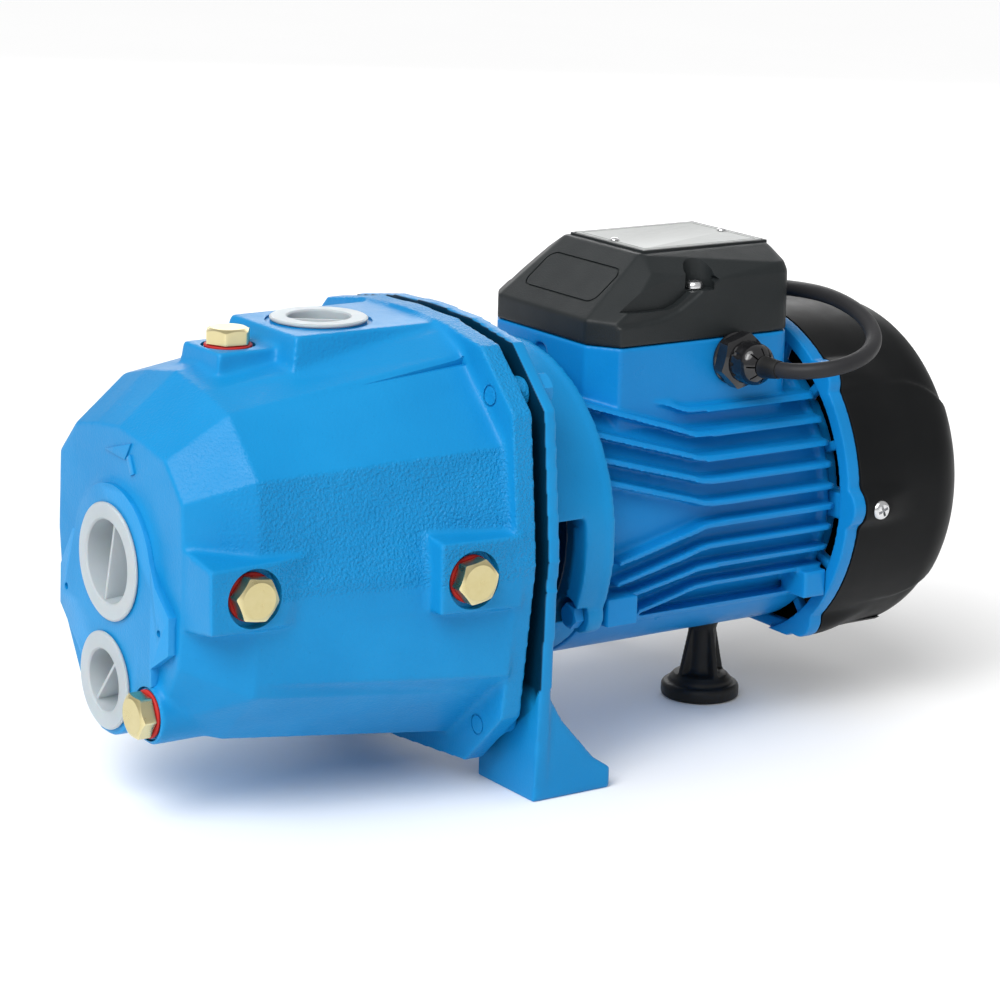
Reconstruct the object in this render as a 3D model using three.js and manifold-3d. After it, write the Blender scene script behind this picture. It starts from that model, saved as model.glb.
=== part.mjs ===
// Electric jet pump: ribbed cast casing with two front ports and a top outlet, clamped to a footed
// bracket that carries a fan-cooled motor. Millimetres, +Z up, motor towards +X.
// Built round x = 0 on the bracket flange face, then moved so the origin is under the middle.
import * as THREE from 'three';
import { mergeVertices } from 'three/addons/utils/BufferGeometryUtils.js';
import { ConvexGeometry } from 'three/addons/geometries/ConvexGeometry.js';
import Module from 'manifold-3d';

const wasm = await Module();
wasm.setup();

const TURN = Math.PI * 2;
const GAP = 0.3;
const LARGE = 36;
const MEDIUM = 24;
const SMALL = 16;
const TINY = 10;
const SHAFT_Z = 104;

// Casing
const FACE_X = -149;
const PAD_X = -152.5;
const CASING_REAR_X = -5.5;
const FLANGE_FRONT_X = -15.5;
const CAVITY_X = -141;
const OPENING_RADIUS = 70;
const BIG_PORT = { y: 1, z: 103.7, bore: 19.6 };
const LOW_PORT = { y: 4, z: 52.7, bore: 15.2 };
const TOP_PORT = { x: -56, z: 195, bore: 15.2 };
const DRAIN = { y: -30.5, z: 47.7 };
const PRIMING = { x: -99, z: 188.5 };
const GAUGE_FRONT = { x: -128.4, y: -74, z: 103.3, deep: 4.7 };
const GAUGE_REAR = { x: -36.2, y: -90.5, z: 102.5, deep: 3.7 };
const GAUGE_SPOT = 12.2;

// Threaded plugs
const PLUG_HEX = 17;
const PLUG_HEAD = 6.6;
const PLUG_THREAD_RADIUS = 5.9;
const PLUG_HOLE_RADIUS = 6.6;
const PLUG_THREAD = 9;
const WASHER_RADIUS = 10.4;
const WASHER_THICK = 1.4;
const SPOT_RADIUS = 11.2;
const SPOT_DEEP = 1;

// Bracket
const PLATE = 6;
const BELL_END_X = 46;
const BELL_RADIUS = 74;
const BELL_WALL = 8;
const BELL_LOW_RADIUS = 66;
const BEARING_SEAT = 17.8;
const FOOT = { inner: 43.6, outer: 85.7, long: 39.5, thick: 9 };

// Motor
const BARREL = { from: 46.3, to: 172, radius: 60, bore: 54 };
const FIN_RADIUS = 69;
const FIN_THICK = 2.6;
const KINK_X = 102;
const SHIELD = { from: 172.3, to: 178.5 };
const RING = { from: 169.5, to: 176.5, outer: 79, inner: 72.6, flat: 36.4, bar: 5.6 };
const COVER = { from: 176.8, to: 244, radius: 79, wall: 1.8 };
const COVER_SCREW = { x: 185, z: 103 };
const SHAFT_RADIUS = 7.5;
const LOW_TIES = [[-60, 70], [60, 70]];
const HIGH_TIES = [[-42, 139.5], [42, 139.5]];
const TIE_BOLTS = [...LOW_TIES, ...HIGH_TIES];

// Terminal box
const BOX = { front: 56.6, corner: 66, rear: 159.5, nose: 32.9, half: 46.5, round: 7, seam: 179.7 };
const LID = { skirt: 191, shoulder: 206, crown: 209, top: 216, wall: 2.2 };
const LID_SCREW = { x: 110, y: 38.3, z: 201.2 };
const NAMEPLATE = { from: 92, to: 157.4, half: 25.5, thick: 0.8 };
const GLAND = { x: 127, z: 170.3, across: 22, body: 9, nut: 12, reach: 21.6 };

// Cord
const CORD_RADIUS = 3.5;
const COIL_RADIUS = 42;
const COIL_TURNS = 3;
const COIL = { x: 10, y: 160 };
const CORD_LOOP = { radius: 25.5, straight: 3, rise: 19 };
const CORD_DROP = { x: 187, y: 98.5, bend: 32 };
const FOOT_X = 153.5;

const parts = new THREE.Group();
parts.name = 'jet_pump';

// A closed geometry as a solid, whichever way its faces were wound.
function solid(geometry) {
  const bare = new THREE.BufferGeometry();
  const source = geometry.index ? geometry.toNonIndexed() : geometry;
  bare.setAttribute('position', source.getAttribute('position').clone());
  const merged = mergeVertices(bare, 1e-4);
  const index = Array.from(merged.index.array);
  const corners = [];
  for (let i = 0; i < index.length; i += 3) {
    const [a, b, c] = index.slice(i, i + 3);
    if (a !== b && b !== c && c !== a) corners.push(a, b, c);
  }
  const build = (triangles) =>
    new wasm.Manifold(
      new wasm.Mesh({
        numProp: 3,
        vertProperties: new Float32Array(merged.attributes.position.array),
        triVerts: new Uint32Array(triangles),
      }),
    );
  const made = build(corners);
  if (made.volume() > 0) return made;
  return build(corners.reverse());
}

function add(name, shape, material) {
  const mesh = shape.getMesh();
  const geometry = new THREE.BufferGeometry();
  geometry.setAttribute('position', new THREE.BufferAttribute(mesh.vertProperties, 3));
  geometry.setIndex(new THREE.BufferAttribute(mesh.triVerts, 1));
  geometry.computeVertexNormals();
  const piece = new THREE.Mesh(geometry, new THREE.MeshStandardMaterial(material));
  piece.name = name;
  parts.add(piece);
}

const union = (shapes) => shapes.reduce((whole, shape) => whole.add(shape));
const without = (shape, cuts) => cuts.reduce((whole, cut) => whole.subtract(cut), shape);

const SIDES = {
  x: new THREE.Matrix4().makeBasis(
    new THREE.Vector3(0, 1, 0),
    new THREE.Vector3(0, 0, 1),
    new THREE.Vector3(1, 0, 0),
  ),
  y: new THREE.Matrix4().makeBasis(
    new THREE.Vector3(0, 0, 1),
    new THREE.Vector3(1, 0, 0),
    new THREE.Vector3(0, 1, 0),
  ),
  z: new THREE.Matrix4(),
};

// A flat outline carried straight along an axis. Outlines are [y, z], [x, z] or [x, y] pairs.
function prism(axis, outline, from, to) {
  const swap = axis === 'y';
  const shape = new THREE.Shape(
    outline.map(([a, b]) => (swap ? new THREE.Vector2(b, a) : new THREE.Vector2(a, b))),
  );
  const geometry = new THREE.ExtrudeGeometry(shape, { depth: to - from, bevelEnabled: false });
  geometry.translate(0, 0, from);
  geometry.applyMatrix4(SIDES[axis]);
  return solid(geometry);
}

function circle(centre, radius, count, start = 0) {
  const outline = [];
  for (let i = 0; i < count; i += 1) {
    const angle = start + (i / count) * TURN;
    outline.push([centre[0] + radius * Math.cos(angle), centre[1] + radius * Math.sin(angle)]);
  }
  return outline;
}

const disc = (axis, centre, radius, from, to, count = SMALL) =>
  prism(axis, circle(centre, radius, count), from, to);

const hexagon = (axis, centre, across, from, to, start = 0) =>
  prism(axis, circle(centre, across / Math.sqrt(3), 6, start), from, to);

const box = (x, y, z) =>
  prism('z', [[x[0], y[0]], [x[1], y[0]], [x[1], y[1]], [x[0], y[1]]], z[0], z[1]);

// A [radius, x] profile turned about the shaft.
function turned(profile, count = MEDIUM) {
  const geometry = new THREE.LatheGeometry(
    profile.map(([radius, x]) => new THREE.Vector2(radius, x)),
    count,
  );
  geometry.rotateZ(-Math.PI / 2);
  geometry.translate(0, 0, SHAFT_Z);
  return solid(geometry);
}

const tube = (inner, outer, from, to, count = MEDIUM) =>
  turned([[inner, from], [outer, from], [outer, to], [inner, to], [inner, from]], count);

const rod = (radius, from, to, count = MEDIUM) =>
  turned([[0, from], [radius, from], [radius, to], [0, to]], count);

const hull = (points) => solid(new ConvexGeometry(points.map((point) => new THREE.Vector3(...point))));

// Rings of matching points joined in order, with flat ends.
function loft(rings) {
  const positions = [];
  const count = rings[0].length;
  const triangle = (a, b, c) => positions.push(...a, ...b, ...c);
  for (let k = 0; k + 1 < rings.length; k += 1) {
    for (let i = 0; i < count; i += 1) {
      const j = (i + 1) % count;
      triangle(rings[k][i], rings[k][j], rings[k + 1][j]);
      triangle(rings[k][i], rings[k + 1][j], rings[k + 1][i]);
    }
  }
  const first = rings[0];
  const last = rings[rings.length - 1];
  for (let i = 1; i + 1 < count; i += 1) {
    triangle(first[0], first[i + 1], first[i]);
    triangle(last[0], last[i], last[i + 1]);
  }
  const geometry = new THREE.BufferGeometry();
  geometry.setAttribute('position', new THREE.BufferAttribute(new Float32Array(positions), 3));
  return solid(geometry);
}

const bothSides = (half) => [...half, ...half.slice(1, -1).reverse().map(([y, z]) => [-y, z])];

// ---- Casing ---------------------------------------------------------------
const SECTIONS = [
  {
    x: FACE_X,
    half: [
      [0, 159.5], [20, 157], [38, 153.3], [38.6, 152.6], [52, 138.8], [53.5, 106], [49.9, 75], [49.4, 71],
      [32, 42], [0, 36],
    ],
  },
  {
    x: -123.4,
    half: [
      [0, 180], [24, 176], [43.6, 170.6], [44.2, 170], [67, 148.2], [70, 105], [66.6, 65], [65.4, 59.2],
      [40, 35], [0, 32],
    ],
  },
  {
    x: FLANGE_FRONT_X + 1,
    half: [
      [0, 195], [32.4, 193], [47.2, 186], [48.8, 182.6], [79.4, 153.4], [88, 105], [87, 58], [74.2, 48.2],
      [44.5, 22], [0, 17],
    ],
  },
];
const RIM = [[0, 197.6], [30, 196], [60, 191], [84.5, 167], [91, 105], [82.5, 38]];
const FLANGE_HALF = [...RIM, [56, 12.5], [0, 7.5]];
const WALL_SHARE = 0.9;
const CLAMP_BOLTS = [[-68, 172], [68, 172], [-66, 33], [66, 33]];

function casingRing(section, share, x) {
  return bothSides(section.half).map(([y, z]) => [x, y * share, SHAFT_Z + (z - SHAFT_Z) * share]);
}

function block(top, base, face, foot) {
  const corners = (box4, z) => [
    [box4[0], box4[2], z],
    [box4[0], box4[3], z],
    [box4[1], box4[2], z],
    [box4[1], box4[3], z],
  ];
  return hull([...corners(top, face), ...corners(base, foot)]);
}

function casing() {
  const body = loft(SECTIONS.map((section) => casingRing(section, 1, section.x)));
  const flange = prism('x', bothSides(FLANGE_HALF), FLANGE_FRONT_X, CASING_REAR_X);
  const platform = block([-82.5, -12, -26.5, 26.5], [-86.5, -12, -30.5, 30.5], TOP_PORT.z, 180);
  const priming = block([-111.5, -80, -15, 15], [-115, -80, -18, 18], PRIMING.z, 166);
  const sideBoss = hull([
    [-148.6, -40, 123.5],
    [-148.6, -54.5, 119.5],
    [-148.2, -74, 116.5],
    [-118, -74, 116.8],
    [-101, -71.8, 118],
    [-101, -40, 123.5],
    [-147.9, -74, 90.3],
    [-116, -74, 90.3],
    [-100, -69, 88],
    [-148.6, -40, 85],
    [-100, -40, 86],
  ]);
  const rearPad = hull([
    [-51.8, -90.5, 119],
    [-51.6, -90.5, 89.8],
    [-53, -70, 123],
    [-53, -70, 88],
    [-12, -90.5, 118],
    [-12, -90.5, 87.8],
    [-12, -70, 122],
    [-12, -70, 86],
  ]);
  const padRound = disc('x', [0, 103], 33, PAD_X, FACE_X + 1, MEDIUM);
  const padPlate = prism(
    'x',
    [[34, 110], [45, 92.3], [45.5, 75.5], [30, 61], [20, 50], [-20, 50], [-34, 60], [-33.5, 67.5],
      [-47.8, 76.5], [-48, 92], [-36.5, 101.7], [-32, 111]],
    PAD_X,
    FACE_X + 4,
  );
  const lowLobe = disc('x', [LOW_PORT.y, LOW_PORT.z], 23, PAD_X, -118, MEDIUM);
  const drainLobe = disc('x', [DRAIN.y, DRAIN.z], 12.6, PAD_X, -122, SMALL);
  const clampBosses = CLAMP_BOLTS.map((at) => disc('x', at, 8, CASING_REAR_X - 1, -GAP, TINY));
  const outside = union([
    body, flange, platform, priming, sideBoss, rearPad, padRound, padPlate, lowLobe, drainLobe,
    ...clampBosses,
  ]);
  const cavity = loft([
    casingRing(SECTIONS[0], 0.8, CAVITY_X),
    casingRing(SECTIONS[1], WALL_SHARE, -118),
    casingRing(SECTIONS[2], WALL_SHARE, FLANGE_FRONT_X - 2),
  ]);
  return without(outside, [
    cavity,
    rod(OPENING_RADIUS, FLANGE_FRONT_X - 4, CASING_REAR_X + 1, MEDIUM),
    disc('x', [BIG_PORT.y, BIG_PORT.z], BIG_PORT.bore, PAD_X - 1, CAVITY_X + 2, MEDIUM),
    disc('x', [LOW_PORT.y, LOW_PORT.z], LOW_PORT.bore, PAD_X - 1, CAVITY_X + 22, MEDIUM),
    disc('z', [TOP_PORT.x, 0], TOP_PORT.bore, 160, TOP_PORT.z + 1, MEDIUM),
    disc('x', [DRAIN.y, DRAIN.z], SPOT_RADIUS, PAD_X - 1, PAD_X + SPOT_DEEP, SMALL),
    disc('x', [DRAIN.y, DRAIN.z], PLUG_HOLE_RADIUS, PAD_X - 1, -116, TINY),
    disc('z', [PRIMING.x, 0], SPOT_RADIUS, PRIMING.z - SPOT_DEEP, PRIMING.z + 1, SMALL),
    disc('z', [PRIMING.x, 0], PLUG_HOLE_RADIUS, 156, PRIMING.z + 1, TINY),
    gaugeCut(GAUGE_FRONT),
    gaugeCut(GAUGE_REAR),
    ...[0, 1, 2, 3].map((k) => disc('x', CLAMP_BOLTS[k], 4.3, -12, 1, TINY)),
  ]);
}

const gaugeCut = (at) =>
  disc('y', [at.x, at.z], GAUGE_SPOT, at.y - 1, at.y + at.deep, SMALL).add(
    disc('y', [at.x, at.z], PLUG_HOLE_RADIUS, at.y - 1, -48, TINY),
  );

// ---- Threaded plugs, transport caps and bolts ------------------------------
// Pieces that point along an axis are made pointing along +Z from the origin, then turned and set.
const AIM = { up: [0, 0, 0], near: [90, 0, 0], front: [0, -90, 0], rear: [0, 90, 0], far: [-90, 0, 0] };

const place = (shape, aim, at) => shape.rotate(AIM[aim]).translate(at);

const plug = () =>
  hexagon('z', [0, 0], PLUG_HEX, WASHER_THICK + GAP, WASHER_THICK + GAP + PLUG_HEAD).add(
    disc('z', [0, 0], PLUG_THREAD_RADIUS, -PLUG_THREAD, WASHER_THICK + GAP + 1, TINY),
  );

const washer = () =>
  disc('z', [0, 0], WASHER_RADIUS, GAP / 2, GAP / 2 + WASHER_THICK, SMALL).subtract(
    disc('z', [0, 0], PLUG_THREAD_RADIUS + GAP, -1, 3, TINY),
  );

function cap(flange, cup, depth) {
  const wall = 1.5;
  const brim = disc('z', [0, 0], flange, GAP, GAP + wall, MEDIUM);
  const shell = brim.add(disc('z', [0, 0], cup, -depth, 1, MEDIUM));
  const hollow = disc('z', [0, 0], cup - wall, -depth + 1, 4, MEDIUM);
  const web = box([-cup + 1, cup - 1], [-0.7, 0.7], [-depth + 0.5, -1]);
  return shell.subtract(hollow).add(web);
}

const bolt = (head, tall, radius, long, start) =>
  hexagon('z', [0, 0], head, 0, tall, start).add(disc('z', [0, 0], radius, -long, 1, TINY));

const steel = { color: 0xb9bcbf, roughness: 0.35, metalness: 0.9 };
const brass = { color: 0xc9a646, roughness: 0.3, metalness: 0.9 };
const redWasher = { color: 0xb3231c, roughness: 0.6, metalness: 0 };
const pumpBlue = { color: 0x1a86d6, roughness: 0.45, metalness: 0.1 };
const motorBlue = { color: 0x0f78c8, roughness: 0.4, metalness: 0.1 };
const blackPlastic = { color: 0x1c1e20, roughness: 0.5, metalness: 0 };
const blackRubber = { color: 0x151515, roughness: 0.75, metalness: 0 };
const whitePlastic = { color: 0xe8edf2, roughness: 0.45, metalness: 0 };
const castIron = { color: 0x4c4f52, roughness: 0.7, metalness: 0.5 };
const copper = { color: 0xa8562a, roughness: 0.5, metalness: 0.7 };
const ceramic = { color: 0xe4e0d4, roughness: 0.4, metalness: 0 };

function addPlug(name, aim, at, seat) {
  add(name, place(plug(), aim, at), brass);
  add(seat, place(washer(), aim, at), redWasher);
}

// ---- Bracket ----------------------------------------------------------------
const BRACKET_HALF = [...RIM, [50, 16], [0, 16]];
const WINDOW = { from: 9.5, to: 30, low: 61, high: 115.5 };

function leg(side) {
  const outer = FOOT.outer * side;
  const inner = FOOT.inner * side;
  const front = prism('x', [[outer, 0], [inner, 0], [inner, 30], [74 * side, 92], [90 * side, 92]], 0, PLATE);
  const base = box([0, FOOT.long], [Math.min(inner, outer), Math.max(inner, outer)], [0, FOOT.thick]);
  const web = prism(
    'y',
    [[0, 0], [FOOT.long, 0], [FOOT.long, FOOT.thick], [31, 14.5], [14, 33.5], [6.5, 46], [0, 46]],
    side > 0 ? outer - 8 : outer,
    side > 0 ? outer : outer + 8,
  );
  return union([front, base, web]);
}

function bracket() {
  const high = tube(BELL_RADIUS - BELL_WALL, BELL_RADIUS, PLATE - 1, BELL_END_X, LARGE);
  const upper = high.intersect(box([0, 60], [-90, 90], [66, 200]));
  const lower = tube(BELL_LOW_RADIUS - BELL_WALL, BELL_LOW_RADIUS, PLATE - 1, BELL_END_X, LARGE);
  const wall = rod(BELL_LOW_RADIUS, 40, BELL_END_X, LARGE);
  const shoulder = disc('x', [0, SHAFT_Z], BELL_RADIUS - 1, 40, BELL_END_X, LARGE).intersect(
    box([30, 60], [-90, 90], [66, 200]),
  );
  const hub = rod(24, 28, BELL_END_X);
  const lugs = LOW_TIES.map((at) => disc('x', at, 8.5, 38, BELL_END_X, SMALL));
  const plate = prism('x', bothSides(BRACKET_HALF), 0, PLATE);
  const spigot = tube(61, 66, -8, 1);
  const body = union([plate, spigot, upper, lower, wall, shoulder, hub, ...lugs, leg(1), leg(-1)]);
  const windows = [[-90, -40], [40, 90]].map((y) =>
    box([WINDOW.from, WINDOW.to], y, [WINDOW.low, WINDOW.high]),
  );
  const tieHoles = TIE_BOLTS.map((at) => disc('x', at, 3.4, 36, BELL_END_X + 1, TINY));
  const pockets = TIE_BOLTS.map((at) => disc('x', at, 8.4, WINDOW.from, 38, SMALL));
  return without(body, [
    ...windows,
    ...tieHoles,
    ...pockets,
    rod(15, -1, 2.2),
    rod(9.4, 2, 33),
    rod(BEARING_SEAT, 32, BELL_END_X + 1),
    ...CLAMP_BOLTS.map((at) => disc('x', at, 4.4, -1, PLATE + 1, TINY)),
  ]);
}

// ---- Motor housing ----------------------------------------------------------
// Each fin: height behind the kink, height at the bell end, and where it starts.
const FINS = [
  { rear: 150, front: 156.5, from: 83 },
  { rear: 140.6, front: 157.6, from: 47.2 },
  { rear: 131, front: 146.4, from: 47.2 },
  { rear: 121.7, front: 136.5, from: 47.2 },
  { rear: 112.2, front: 127, from: 49 },
  { rear: 103.3, front: 91.6, from: 54 },
  { rear: 93.6, front: 81.5, from: 55 },
  { rear: 83.8, front: 74.9, from: 64 },
  { rear: 74.5, front: 65, from: 73 },
];
const LEDGE_Z = 63;

function fin({ rear, front, from }) {
  const soft = 7;
  const lean = ((front - rear) / (KINK_X - from)) * soft;
  const line = [[from, front], [KINK_X - soft, rear + lean], [KINK_X + soft, rear], [BARREL.to, rear]];
  const under = line.map(([x, z]) => [x, z - FIN_THICK / 2]);
  const over = line.map(([x, z]) => [x, z + FIN_THICK / 2]).reverse();
  return prism('y', [...under, ...over], -FIN_RADIUS - 1, FIN_RADIUS + 1);
}

// The rounded rear corner of the box, from the side to the back.
function rearCorner(inset) {
  const cut = BOX.round * 0.3 + inset * 0.75;
  return [
    [BOX.rear - BOX.round, BOX.half - inset],
    [BOX.rear - cut, BOX.half - cut],
    [BOX.rear - inset, BOX.half - BOX.round],
  ];
}

function boxOutline(inset) {
  const half = [
    [BOX.front + inset, BOX.nose],
    [BOX.corner + inset, BOX.half - inset],
    ...rearCorner(inset),
  ];
  return [...half.map(([x, y]) => [x, -y]), ...half.reverse()];
}

function housing() {
  const barrel = rod(BARREL.radius, BARREL.from, BARREL.to, LARGE);
  const rib = (shape) => shape.intersect(rod(FIN_RADIUS, BARREL.from, BARREL.to, LARGE));
  const fins = rib(union(FINS.map(fin)));
  const rail = rod(66.5, BARREL.from, BARREL.to, LARGE).intersect(box([40, 180], [-90, 90], [0, LEDGE_Z]));
  const ledge = rib(box([72, BARREL.to], [-90, 90], [LEDGE_Z - 3, LEDGE_Z]));
  const rearLip = rod(63, BARREL.to - 4, BARREL.to, LARGE);
  const lugs = [-1, 1].flatMap((side) => [
    box([48, 64], side < 0 ? [-68, -50] : [50, 68], [64, 77]),
    box([157, RING.from - GAP], side < 0 ? [-67, -50] : [50, 67], [62, 74]),
  ]);
  const topLugs = HIGH_TIES.map((at) => disc('x', at, 5, BARREL.from, 62, TINY));
  const base = prism('z', boxOutline(0), 138, BOX.seam);
  const pad = disc('z', [FOOT_X, 0], 12, 37.8, 46, SMALL);
  const body = union([barrel, fins, rail, ledge, rearLip, ...lugs, base, pad]);
  const bored = body.subtract(rod(BARREL.bore, BARREL.from - 1, BARREL.to + 1, LARGE));
  return without(union([bored, ...topLugs]), [
    box([BOX.front - 1, BOX.front + 2.5], [-5, 5], [158, 175]),
    prism('z', boxOutline(4.5), 166.5, BOX.seam + 1),
    disc('y', [GLAND.x, GLAND.z], 6.4, -BOX.half - 1, -BOX.half + 6, TINY),
    ...TIE_BOLTS.map((at) => disc('x', at, 3.4, BARREL.from - 1, 62.5, TINY)),
    disc('z', [FOOT_X, 0], 3.4, 30, 45, TINY),
    rod(61.4, BARREL.to - 2, BARREL.to + 1, LARGE),
  ]);
}

// ---- Rear end shield, fan and cover ------------------------------------------
const BUMP_ANGLES = [0, 45, 135, 180, 230, 310];
const BUMP = { at: 74, radius: 9 };
const polar = (radius, degrees) => [
  radius * Math.cos((degrees * TURN) / 360),
  SHAFT_Z + radius * Math.sin((degrees * TURN) / 360),
];

// Everything over a level: the hoop and the fan cover are flat underneath.
const above = (level) => box([150, 260], [-100, 100], [level, 240]);

function shield() {
  const plate = rod(60.8, SHIELD.from, SHIELD.to, LARGE);
  const hub = rod(24, 157, SHIELD.to);
  const neck = tube(50, 53.6, 166, SHIELD.from + 1, LARGE);
  const hoop = tube(RING.inner, RING.outer, RING.from, RING.to, LARGE).intersect(above(RING.flat));
  const bar = rod(RING.outer, SHIELD.from, RING.to, LARGE).intersect(
    box([SHIELD.from, RING.to], [-90, 90], [RING.flat, RING.flat + RING.bar]),
  );
  const bumps = BUMP_ANGLES.map((degrees) =>
    disc('x', polar(BUMP.at, degrees), BUMP.radius, RING.from, RING.to, SMALL).subtract(
      rod(RING.inner, RING.from - 1, SHIELD.from, LARGE),
    ),
  );
  const spokes = [0, 22, 45, 68, 112, 135, 158, 180, 205, 230, 310, 335].map((degrees) =>
    box([SHIELD.from, RING.to], [58, 74], [-2.2, 2.2]).rotate([degrees, 0, 0]).translate([0, 0, SHAFT_Z]),
  );
  const lugs = [[-74, -58], [58, 74]].map((y) =>
    box([SHIELD.from, 193], y, [COVER_SCREW.z - 6, COVER_SCREW.z + 6]),
  );
  return without(union([plate, hub, neck, hoop, bar, ...bumps, ...spokes, ...lugs]), [
    rod(BEARING_SEAT, 156, 169.2),
    rod(9, 156, 180),
    ...[[-90, -64], [64, 90]].map((y) => disc('y', [COVER_SCREW.x, COVER_SCREW.z], 2.3, y[0], y[1], TINY)),
  ]);
}

function fanCover() {
  const { from, to, radius, wall } = COVER;
  const crown = [
    [radius, to - 18],
    [radius - 2.6, to - 9],
    [radius - 8.5, to - 3.4],
    [radius - 21, to - 1],
    [radius - 27, to],
  ];
  const outside = turned([[0, from], [radius, from], ...crown, [0, to]], LARGE).intersect(above(RING.flat));
  const inner = crown.map(([r, x]) => [r - wall, x - wall]);
  const hollow = [[0, from - 1], [radius - wall, from - 1], ...inner, [0, to - wall]];
  const inside = turned(hollow, LARGE).intersect(above(RING.flat + wall));
  const bumps = BUMP_ANGLES.map((degrees) =>
    loft([
      circle(polar(BUMP.at, degrees), BUMP.radius, SMALL).map(([y, z]) => [from, y, z]),
      circle(polar(BUMP.at - 1, degrees), 3, SMALL).map(([y, z]) => [from + 34, y, z]),
    ]),
  );
  const slots = Array.from({ length: 12 }, (_, k) =>
    box([to - 6, to + 2], [15, 60], [-2.4, 2.4]).rotate([(k * 360) / 12, 0, 0]).translate([0, 0, SHAFT_Z]),
  );
  return without(union([outside, ...bumps]), [
    inside,
    ...slots,
    disc('y', [COVER_SCREW.x, COVER_SCREW.z], 2.6, -90, -70, TINY),
    disc('y', [COVER_SCREW.x, COVER_SCREW.z], 2.6, 70, 90, TINY),
  ]);
}

function fan() {
  const hub = tube(8, 13, 196, 216, SMALL);
  const back = tube(12, 44, 196, 198.5, MEDIUM);
  const blades = Array.from({ length: 8 }, (_, k) =>
    box([196, 216], [12, 62], [-1.2, 1.2]).rotate([k * 45, 0, 0]).translate([0, 0, SHAFT_Z]),
  );
  return union([hub, back, ...blades]);
}

// ---- Terminal box --------------------------------------------------------------
function lid() {
  const low = BOX.seam + GAP;
  const corner = (x, y, z) => [[x, y, z], [x, -y, z]];
  const shell = (inset) => [
    ...corner(BOX.front + inset, BOX.nose, low - inset),
    ...corner(BOX.corner + inset, BOX.half - inset, low - inset),
    ...rearCorner(inset).flatMap(([x, y]) => corner(x, y, low - inset)),
    ...corner(BOX.front + inset, BOX.nose, LID.skirt - inset),
    ...corner(BOX.corner + inset, BOX.half - inset, LID.skirt - inset),
    ...rearCorner(inset).flatMap(([x, y]) => corner(x, y - 0.8, LID.shoulder - inset)),
    ...corner(81 + inset, 28, LID.crown + 1 - inset),
    ...corner(87 + inset, 38 - inset, LID.crown - inset),
    ...corner(155 - inset, 38 - inset, LID.crown + 3 - inset),
    ...corner(88 + inset, 27.5 - inset, LID.top - inset),
    ...corner(159 - inset, 28 - inset, LID.top - inset),
  ];
  const scoops = [-1, 1].map((side) => disc('z', [LID_SCREW.x, side * 41], 7.8, LID_SCREW.z, 220, SMALL));
  const posts = [-1, 1].map((side) =>
    disc('z', [LID_SCREW.x, side * 40], 11, low, 220, SMALL).intersect(hull(shell(0.6))),
  );
  return without(hull(shell(0)).subtract(hull(shell(LID.wall))).add(posts[0]).add(posts[1]), [
    ...scoops,
    ...[-1, 1].map((side) => disc('z', [LID_SCREW.x, side * LID_SCREW.y], 2.3, 150, 208, TINY)),
  ]);
}

// ---- Rear foot, gland and cord ---------------------------------------------------
function rearFoot() {
  const around = (profile, count) => {
    const geometry = new THREE.LatheGeometry(profile.map(([r, z]) => new THREE.Vector2(r, z)), count);
    geometry.rotateX(Math.PI / 2);
    geometry.translate(FOOT_X, 0, 0);
    return solid(geometry);
  };
  const stem = around(
    [[0, 0], [17, 0], [18, 1.5], [18, 6], [14.5, 8.6], [12.5, 11], [7, 11.5], [6.5, 37.5], [0, 37.5]],
    32,
  );
  const gusset = hull([
    [FOOT_X - 12, -1.5, 9],
    [FOOT_X + 12, -1.5, 9],
    [FOOT_X - 12, 1.5, 9],
    [FOOT_X + 12, 1.5, 9],
    [FOOT_X - 6.6, -1.5, 30],
    [FOOT_X + 6.6, -1.5, 30],
    [FOOT_X - 6.6, 1.5, 30],
    [FOOT_X + 6.6, 1.5, 30],
  ]);
  const crossed = gusset.translate([-FOOT_X, 0, 0]).rotate([0, 0, 90]).translate([FOOT_X, 0, 0]);
  return union([stem, gusset, crossed]);
}

// The lead loops from the gland over the fan cover, hangs down the far side and runs to the coil.
function cordLine() {
  const low = CORD_RADIUS + 0.15;
  const tip = -BOX.half - GLAND.reach;
  const loop = Array.from({ length: 9 }, (_, k) => {
    const share = k / 8;
    const angle = Math.PI * share;
    return [
      GLAND.x + CORD_LOOP.radius * (1 - Math.cos(angle)),
      tip - CORD_LOOP.straight - CORD_LOOP.radius * Math.sin(angle),
      GLAND.z + CORD_LOOP.rise * share * share,
    ];
  });
  const landing = Array.from({ length: 5 }, (_, k) => {
    const angle = (Math.PI / 8) * k;
    const out = CORD_DROP.bend * (1 - Math.cos(angle));
    return [
      CORD_DROP.x - 0.95 * out,
      CORD_DROP.y + 0.31 * out,
      low + CORD_DROP.bend * (1 - Math.sin(angle)),
    ];
  });
  const route = [
    [GLAND.x, tip, GLAND.z],
    ...loop,
    [180, -48, 193],
    [180.5, -25, 192.5],
    [181, -3, 190],
    [181.5, 22, 185.5],
    [182, 45, 178],
    [184, 68, 163],
    [186, 88, 136],
    [187, 96, 104],
    [CORD_DROP.x, CORD_DROP.y - 1, 64],
    ...landing,
    [140, 113, low],
    [122, 116.3, low],
    [96, 118, low],
    [72, COIL.y - COIL_RADIUS, low],
    [COIL.x + COIL_RADIUS, COIL.y - COIL_RADIUS, low],
  ];
  return new THREE.CatmullRomCurve3(
    route.map((point) => new THREE.Vector3(...point)),
    false,
    'centripetal',
  );
}

function cordRun() {
  const section = new THREE.Shape(circle([0, 0], CORD_RADIUS, 8).map(([a, b]) => new THREE.Vector2(a, b)));
  const geometry = new THREE.ExtrudeGeometry(section, {
    steps: 52,
    bevelEnabled: false,
    extrudePath: cordLine(),
  });
  return solid(geometry);
}

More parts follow.
